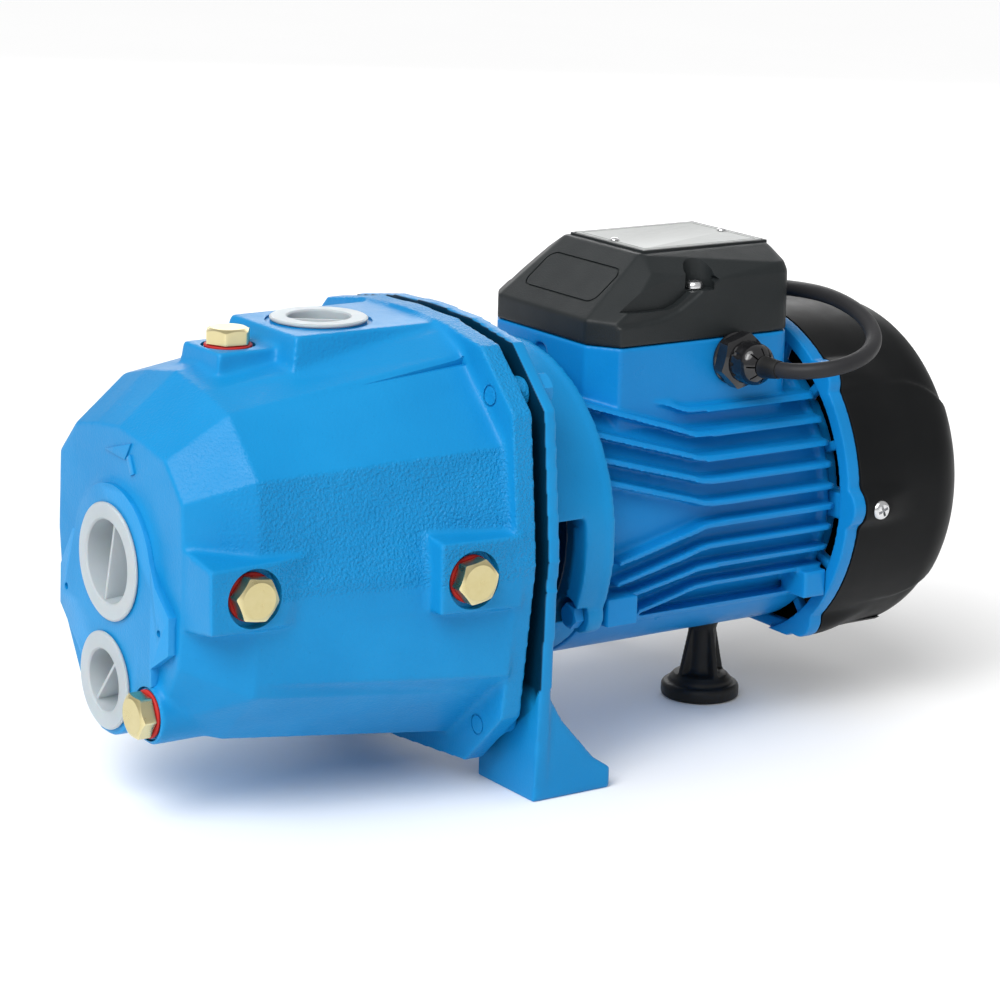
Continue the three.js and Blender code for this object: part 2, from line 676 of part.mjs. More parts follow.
function coil() {
  const half = CORD_RADIUS * COIL_TURNS;
  const tall = CORD_RADIUS * 2;
  const profile = [
    [COIL_RADIUS - half, 2],
    [COIL_RADIUS - half + 2, 0],
    [COIL_RADIUS + half - 2, 0],
    [COIL_RADIUS + half, 2],
    [COIL_RADIUS + half, tall - 2],
    [COIL_RADIUS + half - 2, tall],
    [COIL_RADIUS - half + 2, tall],
    [COIL_RADIUS - half, tall - 2],
    [COIL_RADIUS - half, 2],
  ];
  const geometry = new THREE.LatheGeometry(profile.map(([r, z]) => new THREE.Vector2(r, z)), MEDIUM);
  geometry.rotateX(Math.PI / 2);
  geometry.translate(COIL.x, COIL.y, 0);
  return solid(geometry);
}

function mainsPlug() {
  const y = COIL.y + COIL_RADIUS;
  const from = COIL.x + 42;
  const high = 12;
  const nose = disc('x', [y, high], 5.5, from, from + 18, TINY);
  const body = hull([
    ...[[from + 15, 7, 7], [from + 24, 18, 12], [from + 50, 18, 12]].flatMap(([x, wide, tall]) => [
      [x, y - wide, high - tall],
      [x, y + wide, high - tall],
      [x, y - wide, high + tall],
      [x, y + wide, high + tall],
    ]),
  ]);
  const pins = [-9.5, 9.5].map((side) => disc('x', [y + side, high], 2.4, from + 49, from + 69, TINY));
  return union([nose, body, ...pins]);
}

// ---- Pump end -----------------------------------------------------------------------
add('pump_casing', casing(), pumpBlue);
add('casing_seal_ring', tube(66.4, 69.6, -12, -0.4, MEDIUM), blackRubber);
const sunk = (spot) => [spot.x, spot.y + spot.deep, spot.z];
addPlug('priming_plug', 'up', [PRIMING.x, 0, PRIMING.z - SPOT_DEEP], 'priming_washer');
addPlug('drain_plug', 'front', [PAD_X + SPOT_DEEP, DRAIN.y, DRAIN.z], 'drain_washer');
addPlug('gauge_plug_front', 'near', sunk(GAUGE_FRONT), 'gauge_washer_front');
addPlug('gauge_plug_rear', 'near', sunk(GAUGE_REAR), 'gauge_washer_rear');

function addCap(name, flange, bore, depth, aim, spot) {
  add(name, place(cap(flange, bore - GAP, depth), aim, spot), whitePlastic);
}
addCap('suction_cap', 24.5, BIG_PORT.bore, 9.5, 'front', [PAD_X, BIG_PORT.y, BIG_PORT.z]);
addCap('drive_port_cap', 20.5, LOW_PORT.bore, 9.5, 'front', [PAD_X, LOW_PORT.y, LOW_PORT.z]);
addCap('discharge_cap', 20.5, TOP_PORT.bore, 11, 'up', [TOP_PORT.x, 0, TOP_PORT.z]);

CLAMP_BOLTS.forEach((at, k) => {
  add(`clamp_bolt_${k + 1}`, place(bolt(13, 5.3, 4, 17.5, 0.2), 'rear', [PLATE + GAP, ...at]), pumpBlue);
});

const vanes = Array.from({ length: 6 }, (_, k) =>
  box([-30, -18], [14, 56], [-1.5, 1.5]).rotate([k * 60, 0, 0]).translate([0, 0, SHAFT_Z]),
);
const wheel = union([rod(57, -18.5, -15, MEDIUM), rod(15, -30, -13, MEDIUM), ...vanes]);
add('impeller', wheel.subtract(rod(SHAFT_RADIUS + GAP, -40, 0, SMALL)), brass);
add('impeller_nut', hexagon('x', [0, SHAFT_Z], 19, -38, -30.3).subtract(rod(5.8, -50, 0, TINY)), steel);
const diffuser = union([tube(60, 64, -40, -9), tube(20, 64, -40, -35), tube(20, 24, -72, -36, MEDIUM)]);
add('diffuser', diffuser, blackPlastic);
const sealOutline = [[8, -12.6], [12, -12.6], [12, -9], [14, -9], [14, -5], [8, -5], [8, -12.6]];
add('seal_head', turned(sealOutline, SMALL), blackRubber);
add('seal_seat', tube(8.2, 14.6, -4.6, 1.8, SMALL), ceramic);
add('bracket', bracket(), pumpBlue);

// ---- Motor ----------------------------------------------------------------------------
TIE_BOLTS.forEach((at, k) => {
  add(`tie_bolt_${k + 1}`, place(bolt(10, 5, 3, 22, 0.3), 'front', [38 - GAP, ...at]), motorBlue);
});
add('motor_housing', housing(), motorBlue);
add('stator_core', tube(31, BARREL.bore - GAP, 68, 136, MEDIUM), castIron);
const frontWinding = [[35, 67.7], [50, 67.7], [49, 52], [37, 52], [35, 67.7]];
const rearWinding = [[35, 136.3], [37, 152], [49, 152], [50, 136.3], [35, 136.3]];
add('winding_front', turned(frontWinding, MEDIUM), copper);
add('winding_rear', turned(rearWinding, MEDIUM), copper);
add('rotor_core', tube(SHAFT_RADIUS + GAP, 30.6, 66, 138, MEDIUM), castIron);
const shaftOutline = [
  [0, -42],
  [5.5, -42],
  [5.5, -30],
  [SHAFT_RADIUS, -30],
  [SHAFT_RADIUS, 220],
  [0, 220],
];
add('shaft', turned(shaftOutline, SMALL), steel);
add('front_bearing_outer', tube(14.5, BEARING_SEAT - GAP, 32.4, 43.4, MEDIUM), steel);
add('front_bearing_inner', tube(SHAFT_RADIUS + GAP, 10.5, 32.4, 43.4, MEDIUM), steel);
add('front_bearing_balls', tube(10.8, 14.2, 35, 41, SMALL), steel);
add('rear_bearing_outer', tube(14.5, BEARING_SEAT - GAP, 157.6, 168.6, MEDIUM), steel);
add('rear_bearing_inner', tube(SHAFT_RADIUS + GAP, 10.5, 157.6, 168.6, MEDIUM), steel);
add('rear_bearing_balls', tube(10.8, 14.2, 160, 166, SMALL), steel);
add('rear_end_shield', shield(), motorBlue);
add('cooling_fan', fan(), blackPlastic);
add('fan_cover', fanCover(), blackPlastic);
[-1, 1].forEach((side) => {
  const screw = disc('z', [0, 0], 4.2, 0, 2.4, TINY).add(disc('z', [0, 0], 2, -14, 1, TINY));
  const at = [COVER_SCREW.x, side * 82.4, COVER_SCREW.z];
  add(side < 0 ? 'cover_screw_near' : 'cover_screw_far', place(screw, side < 0 ? 'near' : 'far', at), steel);
});

// ---- Terminal box, cord and rear foot -----------------------------------------------------
add('terminal_cover', lid(), blackPlastic);
[-1, 1].forEach((side) => {
  const screw = disc('z', [0, 0], 4, 0, 2.4, TINY).add(disc('z', [0, 0], 2, -12, 1, TINY));
  const name = side < 0 ? 'lid_screw_near' : 'lid_screw_far';
  add(name, place(screw, 'up', [LID_SCREW.x, side * LID_SCREW.y, LID_SCREW.z + GAP]), steel);
});
const plateZ = LID.top + GAP;
const rivetSpots = [NAMEPLATE.from + 3, NAMEPLATE.to - 3].map((x) => [x, 0]);
const rivetHoles = rivetSpots.map((at) => disc('z', at, 1.3, plateZ - 1, plateZ + 2, TINY));
const plateBody = box(
  [NAMEPLATE.from, NAMEPLATE.to],
  [-NAMEPLATE.half, NAMEPLATE.half],
  [plateZ, plateZ + NAMEPLATE.thick],
);
add('nameplate', without(plateBody, rivetHoles), steel);
rivetSpots.forEach((at, k) => {
  const top = plateZ + NAMEPLATE.thick + GAP;
  const rivet = disc('z', at, 2.1, top, top + 1, TINY).add(disc('z', at, 1, plateZ - 0.2, top + 0.5, TINY));
  add(`nameplate_rivet_${k + 1}`, rivet, steel);
});
add('terminal_block', box([78, 118], [-20, 20], [166.8, 178]), whitePlastic);
add('capacitor', disc('x', [0, 194], 12, 94, 142, SMALL), blackPlastic);
const glandAt = [GLAND.x, GLAND.z];
const bodyEnd = -BOX.half - GLAND.body;
const nutStart = bodyEnd - GAP;
const glandHex = hexagon('y', glandAt, GLAND.across, bodyEnd, -BOX.half - GAP, 0.3);
const glandStem = disc('y', glandAt, 6, -BOX.half - 2, -BOX.half + 5, TINY);
add('gland_body', glandHex.add(glandStem), blackPlastic);
const nutBarrel = disc('y', glandAt, 9.4, nutStart - 7, nutStart, SMALL);
const nutNose = disc('y', glandAt, 6.5, nutStart - GLAND.nut, nutStart - 5, SMALL);
add('gland_nut', nutBarrel.add(nutNose), blackPlastic);
add('cord_run', cordRun(), blackRubber);
add('cord_coil', coil(), blackRubber);
add('mains_plug', mainsPlug(), blackPlastic);
add('rear_foot', rearFoot(), blackRubber);

// The origin goes under the middle of everything but the cord.
const CORD_NAMES = ['cord_run', 'cord_coil', 'mains_plug'];
const extent = new THREE.Box3();
parts.children
  .filter((piece) => !CORD_NAMES.includes(piece.name))
  .forEach((piece) => extent.expandByObject(piece));
const middle = extent.getCenter(new THREE.Vector3());
parts.children.forEach((piece) => piece.geometry.translate(-middle.x, -middle.y, -extent.min.z));

export default parts;
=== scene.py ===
# Electric jet pump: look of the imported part. Shapes are made in millimetres with x = 0 on the
# bracket flange, then moved to the part's own frame in metres.
import math

import bmesh
import bpy
import numpy as np
from mathutils import Matrix, Vector


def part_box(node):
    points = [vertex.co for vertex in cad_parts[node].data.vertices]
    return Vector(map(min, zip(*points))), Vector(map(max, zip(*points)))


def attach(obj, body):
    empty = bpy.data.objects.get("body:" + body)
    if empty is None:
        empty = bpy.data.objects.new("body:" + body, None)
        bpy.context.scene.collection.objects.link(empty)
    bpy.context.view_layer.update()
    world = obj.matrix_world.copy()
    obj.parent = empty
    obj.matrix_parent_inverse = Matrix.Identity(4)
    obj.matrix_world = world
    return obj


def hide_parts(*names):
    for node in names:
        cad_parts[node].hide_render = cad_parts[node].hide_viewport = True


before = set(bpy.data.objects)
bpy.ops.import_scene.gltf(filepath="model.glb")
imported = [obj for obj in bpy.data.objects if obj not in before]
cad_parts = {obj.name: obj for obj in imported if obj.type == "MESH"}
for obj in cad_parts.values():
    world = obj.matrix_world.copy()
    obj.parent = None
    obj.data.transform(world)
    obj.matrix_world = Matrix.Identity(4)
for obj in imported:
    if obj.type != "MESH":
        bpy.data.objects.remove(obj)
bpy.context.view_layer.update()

MM = 0.001
SHAFT_Z = 104.0
casing_low, casing_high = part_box("pump_casing")
SHIFT = Vector((casing_low[0] / MM + 152.5, casing_low[1] / MM + 91.0, 0.0))
ROOT = "pump_and_motor"
scene = bpy.context.scene
scene.view_settings.view_transform = "Standard"


# ---- Camera -----------------------------------------------------------------
def camera():
    data = bpy.data.cameras.new("camera")
    data.sensor_width = 36.0
    data.lens = 118.15
    data.clip_start = 0.01
    data.clip_end = 50.0
    yaw, pitch, roll = (math.radians(v) for v in (55.26, 14.23, 1.63))
    forward = Vector((math.cos(yaw) * math.cos(pitch), math.sin(yaw) * math.cos(pitch), -math.sin(pitch)))
    level = Vector((math.sin(yaw), -math.cos(yaw), 0.0))
    upright = level.cross(forward)
    right = level * math.cos(roll) + upright * math.sin(roll)
    up = upright * math.cos(roll) - level * math.sin(roll)
    basis = Matrix((right, up, -forward)).transposed().to_4x4()
    shown = bpy.data.objects.new("camera", data)
    shown.matrix_world = Matrix.Translation((-0.7954, -1.13895, 0.4587)) @ basis
    scene.collection.objects.link(shown)
    scene.camera = shown


camera()


# ---- Mesh kit ---------------------------------------------------------------
def solid(points, faces):
    mesh = bpy.data.meshes.new("solid")
    mesh.from_pydata([tuple(p) for p in points], [], faces)
    return sealed(mesh)


def sealed(mesh):
    tidy = bmesh.new()
    tidy.from_mesh(mesh)
    bmesh.ops.remove_doubles(tidy, verts=tidy.verts, dist=1e-4)
    bmesh.ops.recalc_face_normals(tidy, faces=tidy.faces)
    tidy.to_mesh(mesh)
    tidy.free()
    return mesh


def loft(rings, closed=False):
    count = len(rings[0])
    points = [p for ring in rings for p in ring]
    faces = []
    spans = len(rings) if closed else len(rings) - 1
    for k in range(spans):
        near, far = k * count, ((k + 1) % len(rings)) * count
        for i in range(count):
            j = (i + 1) % count
            faces.append((near + i, near + j, far + j, far + i))
    if not closed:
        faces.append(tuple(range(count)))
        faces.append(tuple(range(len(points) - count, len(points))))
    return solid(points, faces)


def prism(axis, outline, low, high):
    place = {
        "x": lambda a, b, t: (t, a, b),
        "y": lambda a, b, t: (a, t, b),
        "z": lambda a, b, t: (a, b, t),
    }[axis]
    return loft([[place(a, b, t) for a, b in outline] for t in (low, high)])


def circle(centre, radius, count=96, start=0.0):
    angles = [start + 2 * math.pi * i / count for i in range(count)]
    return [(centre[0] + radius * math.cos(a), centre[1] + radius * math.sin(a)) for a in angles]


def disc(axis, centre, radius, low, high, count=96):
    return prism(axis, circle(centre, radius, count), low, high)


def box(x, y, z):
    return prism("z", [(x[0], y[0]), (x[1], y[0]), (x[1], y[1]), (x[0], y[1])], z[0], z[1])


def turned(profile, count=192):
    rings = []
    for k in range(count):
        angle = 2 * math.pi * k / count
        rings.append([(x, r * math.cos(angle), SHAFT_Z + r * math.sin(angle)) for r, x in profile])
    return loft(rings, closed=True)


def spun(profile, count=96):
    """A [radius, height] profile turned about Z at the origin."""
    rings = []
    for k in range(count):
        angle = 2 * math.pi * k / count
        rings.append([(r * math.cos(angle), r * math.sin(angle), z) for r, z in profile])
    return loft(rings, closed=True)


def tube(inner, outer, low, high, count=192):
    return turned([(inner, low), (outer, low), (outer, high), (inner, high)], count)


def rod(radius, low, high, count=192):
    return turned([(0, low), (radius, low), (radius, high), (0, high)], count)


def hull(points):
    made = bmesh.new()
    for p in points:
        made.verts.new(p)
    found = bmesh.ops.convex_hull(made, input=made.verts)
    loose = [g for g in found["geom_interior"] + found["geom_unused"] if isinstance(g, bmesh.types.BMVert)]
    bmesh.ops.delete(made, geom=list(set(loose)), context="VERTS")
    bmesh.ops.recalc_face_normals(made, faces=made.faces)
    mesh = bpy.data.meshes.new("hull")
    made.to_mesh(mesh)
    made.free()
    return mesh


def moved(mesh, matrix):
    mesh.transform(matrix)
    if matrix.determinant() < 0:
        mesh.flip_normals()
    return mesh


def spin_x(degrees):
    """A turn about the shaft line."""
    centre = Matrix.Translation((0, 0, SHAFT_Z))
    return centre @ Matrix.Rotation(math.radians(degrees), 4, "X") @ centre.inverted()


def evaluated(mesh, settle):
    """The mesh after the modifiers that settle adds to a passing object."""
    holder = bpy.data.objects.new("holder", mesh)
    scene.collection.objects.link(holder)
    settle(holder)
    graph = bpy.context.evaluated_depsgraph_get()
    result = bpy.data.meshes.new_from_object(holder.evaluated_get(graph))
    bpy.data.objects.remove(holder)
    return result


def combine(base, others, how):
    tools = []

    def settle(holder):
        for other in others:
            tool = bpy.data.objects.new("tool", other)
            scene.collection.objects.link(tool)
            tools.append(tool)
            step = holder.modifiers.new("step", "BOOLEAN")
            step.object = tool
            step.operation = how
            step.solver = "MANIFOLD"

    result = evaluated(base, settle)
    for tool in tools:
        bpy.data.objects.remove(tool)
    return result


def union(shapes):
    return combine(shapes[0], shapes[1:], "UNION") if len(shapes) > 1 else shapes[0]


def without(base, cuts):
    return combine(base, cuts, "DIFFERENCE")


def common(base, other):
    return combine(base, [other], "INTERSECT")


def vertex_rows(mesh, what):
    """The vertices' "co" or "normal", one row each."""
    rows = np.empty(len(mesh.vertices) * 3)
    mesh.vertices.foreach_get(what, rows)
    return rows.reshape(-1, 3)


def neighbour_mean(mesh):
    """A function that gives each vertex the mean of its neighbours' values."""
    count = len(mesh.vertices)
    ends = np.empty(len(mesh.edges) * 2, dtype=np.int64)
    mesh.edges.foreach_get("vertices", ends)
    a, b = ends[0::2], ends[1::2]
    valence = np.bincount(a, minlength=count) + np.bincount(b, minlength=count)

    def mean(values):
        return (np.bincount(a, values[b], count) + np.bincount(b, values[a], count)) / valence

    return mean


def relaxed(mesh, rounds, strength=0.5):
    """Evens the surface as a casting's edges are eased."""
    mean = neighbour_mean(mesh)
    spots = vertex_rows(mesh, "co")
    for _ in range(rounds):
        around = np.stack([mean(spots[:, axis]) for axis in range(3)], axis=1)
        spots += strength * (around - spots)
    mesh.vertices.foreach_set("co", spots.ravel())
    mesh.update()
    return mesh


def filled(mesh, rounds):
    """Lays a fillet in every hollow corner and leaves the outer edges alone."""
    mean = neighbour_mean(mesh)
    for step in range(rounds):
        if step % 4 == 0:
            place = vertex_rows(mesh, "co")
            out = vertex_rows(mesh, "normal")
        around = np.stack([mean(place[:, axis]) for axis in range(3)], axis=1)
        rise = np.einsum("ij,ij->i", around - place, out)
        place += 0.6 * np.maximum(rise - 0.004, 0)[:, None] * out
        if step % 4 == 3 or step == rounds - 1:
            mesh.vertices.foreach_set("co", place.ravel())
            mesh.update()
    return mesh


def marked(mesh, name, values):
    """Keeps one number a vertex for the material to read."""
    layer = mesh.attributes.new(name, "FLOAT", "POINT")
    layer.data.foreach_set("value", values.astype(np.float32))
    return mesh


def cast(mesh, voxel, rounds, keep, fillet=0):
    """A moulded or cast skin: even small faces, eased edges, then fewer faces where it is flat."""

    def remesh(holder):
        step = holder.modifiers.new("remesh", "REMESH")
        step.mode = "VOXEL"
        step.voxel_size = voxel

    def thin(holder):
        step = holder.modifiers.new("thin", "DECIMATE")
        step.ratio = keep

    made = filled(relaxed(evaluated(mesh, remesh), rounds), fillet)
    return evaluated(made, thin) if keep < 1 else made


def eased(mesh, width=0.3, segments=2, angle=30.0):
    """Rounds the sharp edges of a machined or moulded piece."""

    def settle(holder):
        step = holder.modifiers.new("ease", "BEVEL")
        step.width = width
        step.segments = segments
        step.limit_method = "ANGLE"
        step.angle_limit = math.radians(angle)
        step.use_clamp_overlap = True

    return evaluated(mesh, settle)


AIMS = {
    "up": Matrix.Identity(4),
    "front": Matrix.Rotation(math.radians(-90), 4, "Y"),
    "rear": Matrix.Rotation(math.radians(90), 4, "Y"),
    "near": Matrix.Rotation(math.radians(90), 4, "X"),
    "far": Matrix.Rotation(math.radians(-90), 4, "X"),
}


def placed(mesh, aim, spot, turn=0.0):
    return moved(mesh, Matrix.Translation(spot) @ AIMS[aim] @ Matrix.Rotation(math.radians(turn), 4, "Z"))


def show(name, mesh, material, body=ROOT, replaces=(), crease=35.0):
    """Adds a finished piece in the part's frame."""
    for polygon in mesh.polygons:
        polygon.use_smooth = True
    mesh.transform(Matrix.Scale(MM, 4) @ Matrix.Translation(SHIFT))
    mesh.set_sharp_from_angle(angle=math.radians(crease))
    mesh.name = name
    piece = bpy.data.objects.new(name, mesh)
    mesh.materials.clear()
    mesh.materials.append(material)
    scene.collection.objects.link(piece)
    if replaces:
        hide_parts(*replaces)
    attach(piece, body)
    return piece


# ---- Materials --------------------------------------------------------------
class Paint:
    """A node material built up step by step."""

    def __init__(self, name):
        self.material = bpy.data.materials.new(name)
        self.material.use_nodes = True
        self.tree = self.material.node_tree
        self.tree.nodes.clear()
        self.shader = self.node("ShaderNodeBsdfPrincipled")
        output = self.node("ShaderNodeOutputMaterial")
        self.link(self.shader.outputs[0], output.inputs["Surface"])
        self.place = self.node("ShaderNodeTexCoord").outputs["Object"]

    def node(self, kind, **settings):
        made = self.tree.nodes.new(kind)
        for key, value in settings.items():
            setattr(made, key, value)
        return made

    def link(self, source, target):
        self.tree.links.new(source, target)

    def fixed(self, **values):
        for key, value in values.items():
            self.shader.inputs[key.replace("_", " ")].default_value = value

    def noise(self, scale, detail=2.0, rough=0.5, stretch=None):
        made = self.node("ShaderNodeTexNoise")
        made.inputs["Scale"].default_value = scale
        made.inputs["Detail"].default_value = detail
        made.inputs["Roughness"].default_value = rough
        source = self.place
        if stretch:
            mapping = self.node("ShaderNodeMapping")
            mapping.inputs["Scale"].default_value = stretch
            self.link(self.place, mapping.inputs["Vector"])
            source = mapping.outputs[0]
        self.link(source, made.inputs["Vector"])
        return made.outputs["Fac"]

    def math(self, operation, a, b=None, c=None, clamp=False):
        made = self.node("ShaderNodeMath", operation=operation, use_clamp=clamp)
        for index, value in enumerate((a, b, c)):
            if value is None:
                continue
            if isinstance(value, (int, float)):
                made.inputs[index].default_value = value
            else:
                self.link(value, made.inputs[index])
        return made.outputs[0]

    def spread(self, value, low, high, to_low=0.0, to_high=1.0):
        made = self.node("ShaderNodeMapRange")
        for index, number in ((1, low), (2, high), (3, to_low), (4, to_high)):
            made.inputs[index].default_value = number
        self.link(value, made.inputs[0])
        return made.outputs[0]

    def mix(self, amount, first, second):
        made = self.node("ShaderNodeMix", data_type="RGBA")
        if isinstance(amount, (int, float)):
            made.inputs["Factor"].default_value = amount
        else:
            self.link(amount, made.inputs["Factor"])
        for name, colour in (("A", first), ("B", second)):
            socket = [s for s in made.inputs if s.name == name and s.type == "RGBA"][0]
            if isinstance(colour, tuple):
                socket.default_value = (*colour, 1.0)
            else:
                self.link(colour, socket)
        return [s for s in made.outputs if s.type == "RGBA"][0]

    def bump(self, height, distance, strength=1.0):
        made = self.node("ShaderNodeBump")
        made.inputs["Strength"].default_value = strength
        made.inputs["Distance"].default_value = distance
        self.link(height, made.inputs["Height"])
        if getattr(self, "normal", None):
            self.link(self.normal, made.inputs["Normal"])
        self.normal = made.outputs[0]
        self.link(self.normal, self.shader.inputs["Normal"])

    def edges(self, low=0.52, high=0.6):
        """1 on thin outer edges, found by pointiness, 0 elsewhere."""
        geometry = self.node("ShaderNodeNewGeometry")
        return self.spread(geometry.outputs["Pointiness"], low, high)

    def colour(self, source):
        self.link(source, self.shader.inputs["Base Color"])

    def roughness(self, tone, low, high):
        self.link(self.spread(tone, 0.3, 0.7, low, high), self.shader.inputs["Roughness"])


def paint(name, deep, light, rough, grain, grain_deep, patch=None):
    """Enamel over a casting: colour drift, orange peel, thin edges painted lighter as a highlight, and
    painted shade where the mesh marks it dark.
    """
    made = Paint(name)
    drift = made.noise(14.0, 3.0, 0.55)
    base = made.mix(made.spread(drift, 0.35, 0.65), deep, light)
    speck = made.noise(1400.0, 1.0, 0.5)
    base = made.mix(made.spread(speck, 0.70, 0.78, 0.0, 0.3), base, tuple(v * 0.55 for v in deep))
    # Painted highlight: thin outer edges are lightened toward a paler blue, standing in for the glints the
    # enamel catches there.
    bright_edge = tuple(min(1.0, v * 1.25 + 0.03) for v in light)
    base = made.mix(made.math("MULTIPLY", made.edges(), 0.35), base, bright_edge)
    # Painted shade: where the mesh's dark attribute is set, at the casing-bracket joint and inside the bell,
    # the colour is darkened to 12 % of the deep tone.
    dark = made.node("ShaderNodeAttribute", attribute_name="dark").outputs["Fac"]
    made.colour(made.mix(dark, base, tuple(v * 0.12 for v in deep)))
    made.roughness(made.noise(60.0, 3.0), rough - 0.05, rough + 0.07)
    made.fixed(Specular_IOR_Level=0.17)
    made.bump(made.noise(220.0, 2.0, 0.5), 0.0003, 0.3)
    made.bump(made.noise(grain, 3.0, 0.6), grain_deep, 0.5)
    if patch:
        patch(made)
    return made.material


def facet_grain(made):
    """Rough as-cast skin, only where the mesh says so."""
    mask = made.node("ShaderNodeAttribute", attribute_name="rough").outputs["Fac"]
    grain = made.math("SUBTRACT", made.noise(820.0, 2.0, 0.5), 0.5)
    made.bump(made.math("MULTIPLY", grain, mask), 0.0012, 1.0)


pump_paint = paint(
    "pump_paint", (0.004, 0.212, 0.500), (0.007, 0.244, 0.555), 0.34, 900.0, 0.0002, facet_grain,
)
motor_paint = paint("motor_paint", (0.003, 0.190, 0.500), (0.005, 0.220, 0.555), 0.32, 1300.0, 0.00014)


def metal(name, dark, bright, rough, brushed=None, grain=0.00004):
    made = Paint(name)
    tone = made.noise(120.0, 4.0, 0.6, brushed)
    base = made.mix(made.spread(tone, 0.3, 0.7), dark, bright)
    # Painted highlight: thin outer edges, such as the chamfer lines of hex heads, are lightened to stand in
    # for the bright edge lines they catch.
    bright_edge = tuple(min(1.0, v * 1.3 + 0.08) for v in bright)
    made.colour(made.mix(made.math("MULTIPLY", made.edges(), 0.7), base, bright_edge))
    made.roughness(tone, rough - 0.06, rough + 0.08)
    made.fixed(Metallic=1.0)
    made.bump(made.noise(1500.0, 2.0, 0.5, brushed), grain, 0.5)
    return made.material


zinc_yellow = metal("zinc_yellow", (0.58, 0.50, 0.25), (0.66, 0.58, 0.32), 0.30, None, 0.00002)
bright_steel = metal("bright_steel", (0.55, 0.56, 0.57), (0.80, 0.80, 0.81), 0.22)
iron_stack = metal("iron_stack", (0.12, 0.12, 0.125), (0.22, 0.22, 0.23), 0.5, (40.0, 1.0, 1.0))
plate_metal = metal("plate_metal", (0.34, 0.35, 0.345), (0.48, 0.49, 0.485), 0.60, (1.0, 8.0, 1.0), 0.00006)
copper_wire = metal("copper_wire", (0.38, 0.14, 0.06), (0.62, 0.28, 0.13), 0.35, (1.0, 1.0, 6.0))


def plastic(name, dark, light, rough, grain=1600.0, deep=0.00006, coat=0.0, shine=0.22):
    made = Paint(name)
    tone = made.noise(30.0, 3.0, 0.5)
    base = made.mix(made.spread(tone, 0.3, 0.7), dark, light)
    # Thin outer edges get a lighter colour.
    bright_edge = tuple(v * 1.8 + 0.01 for v in light)
    made.colour(made.mix(made.math("MULTIPLY", made.edges(0.53, 0.62), 0.4), base, bright_edge))
    made.roughness(made.noise(90.0, 3.0), rough - 0.04, rough + 0.05)
    made.fixed(Coat_Weight=coat, Coat_Roughness=0.1, Specular_IOR_Level=shine)
    made.bump(made.noise(grain, 2.0, 0.55), deep, 0.6)
    return made.material


lid_plastic = plastic(
    "lid_plastic", (0.011, 0.014, 0.015), (0.016, 0.019, 0.020), 0.44, 1500.0, 0.00014, shine=0.26,
)
cover_plastic = plastic(
    "cover_plastic", (0.007, 0.0075, 0.008), (0.010, 0.0105, 0.011), 0.40, 1900.0, 0.00005, shine=0.07,
)
gloss_nylon = plastic(
    "gloss_nylon", (0.006, 0.006, 0.007), (0.010, 0.010, 0.011), 0.12, 500.0, 0.00003, 0.3, 0.5,
)
cable_sheath = plastic("cable_sheath", (0.016, 0.016, 0.018), (0.026, 0.026, 0.028), 0.5, 900.0, 0.00008)
foot_rubber = plastic("foot_rubber", (0.008, 0.008, 0.008), (0.014, 0.014, 0.014), 0.42, 700.0, 0.0001)
red_fibre = plastic("red_fibre", (0.30, 0.012, 0.012), (0.46, 0.025, 0.022), 0.5, 900.0, 0.0002)
pale_ceramic = plastic("pale_ceramic", (0.62, 0.60, 0.54), (0.74, 0.72, 0.66), 0.3)


def milky():
    made = Paint("milky_plastic")
    tone = made.noise(40.0, 3.0, 0.5)
    made.colour(made.mix(made.spread(tone, 0.3, 0.7), (0.58, 0.65, 0.69), (0.66, 0.72, 0.75)))
    made.roughness(made.noise(120.0, 3.0), 0.30, 0.42)
    made.fixed(Transmission_Weight=0.42, IOR=1.4, Subsurface_Weight=0.15, Subsurface_Scale=0.004)
    made.bump(made.noise(500.0, 2.0, 0.5), 0.00008, 0.5)
    return made.material


milky_plastic = milky()


# ---- Cord -------------------------------------------------------------------
GLAND_X, GLAND_Z = 127.0, 170.3
CORD_RADIUS = 3.5
COIL = (10.0, 160.0)
LOOP = {"radius": 25.5, "straight": 3.0, "rise": 19.0}
DROP = {"x": 187.0, "y": 98.5, "bend": 32.0}


def smooth_line(points, step=2.0):
    """A centripetal Catmull-Rom curve through the points, sampled evenly."""
    pts = [np.array(p, float) for p in points]
    pts = [2 * pts[0] - pts[1]] + pts + [2 * pts[-1] - pts[-2]]
    line = []
    for p0, p1, p2, p3 in zip(pts, pts[1:], pts[2:], pts[3:]):
        t0 = 0.0
        t1 = t0 + np.linalg.norm(p1 - p0) ** 0.5
        t2 = t1 + np.linalg.norm(p2 - p1) ** 0.5
        t3 = t2 + np.linalg.norm(p3 - p2) ** 0.5
        for t in np.linspace(t1, t2, 24, endpoint=False):
            a1 = (t1 - t) / (t1 - t0) * p0 + (t - t0) / (t1 - t0) * p1
            a2 = (t2 - t) / (t2 - t1) * p1 + (t - t1) / (t2 - t1) * p2
            a3 = (t3 - t) / (t3 - t2) * p2 + (t - t2) / (t3 - t2) * p3
            b1 = (t2 - t) / (t2 - t0) * a1 + (t - t0) / (t2 - t0) * a2
            b2 = (t3 - t) / (t3 - t1) * a2 + (t - t1) / (t3 - t1) * a3
            line.append((t2 - t) / (t2 - t1) * b1 + (t - t1) / (t2 - t1) * b2)
    line.append(pts[-2])
    line = np.array(line)
    along = np.concatenate(([0], np.cumsum(np.linalg.norm(np.diff(line, axis=0), axis=1))))
    wanted = np.linspace(0, along[-1], int(along[-1] / step))
    line = np.stack([np.interp(wanted, along, line[:, i]) for i in range(3)], axis=1)
    for _ in range(12):
        line[1:-1] = (line[:-2] + 2 * line[1:-1] + line[2:]) / 4
    return line


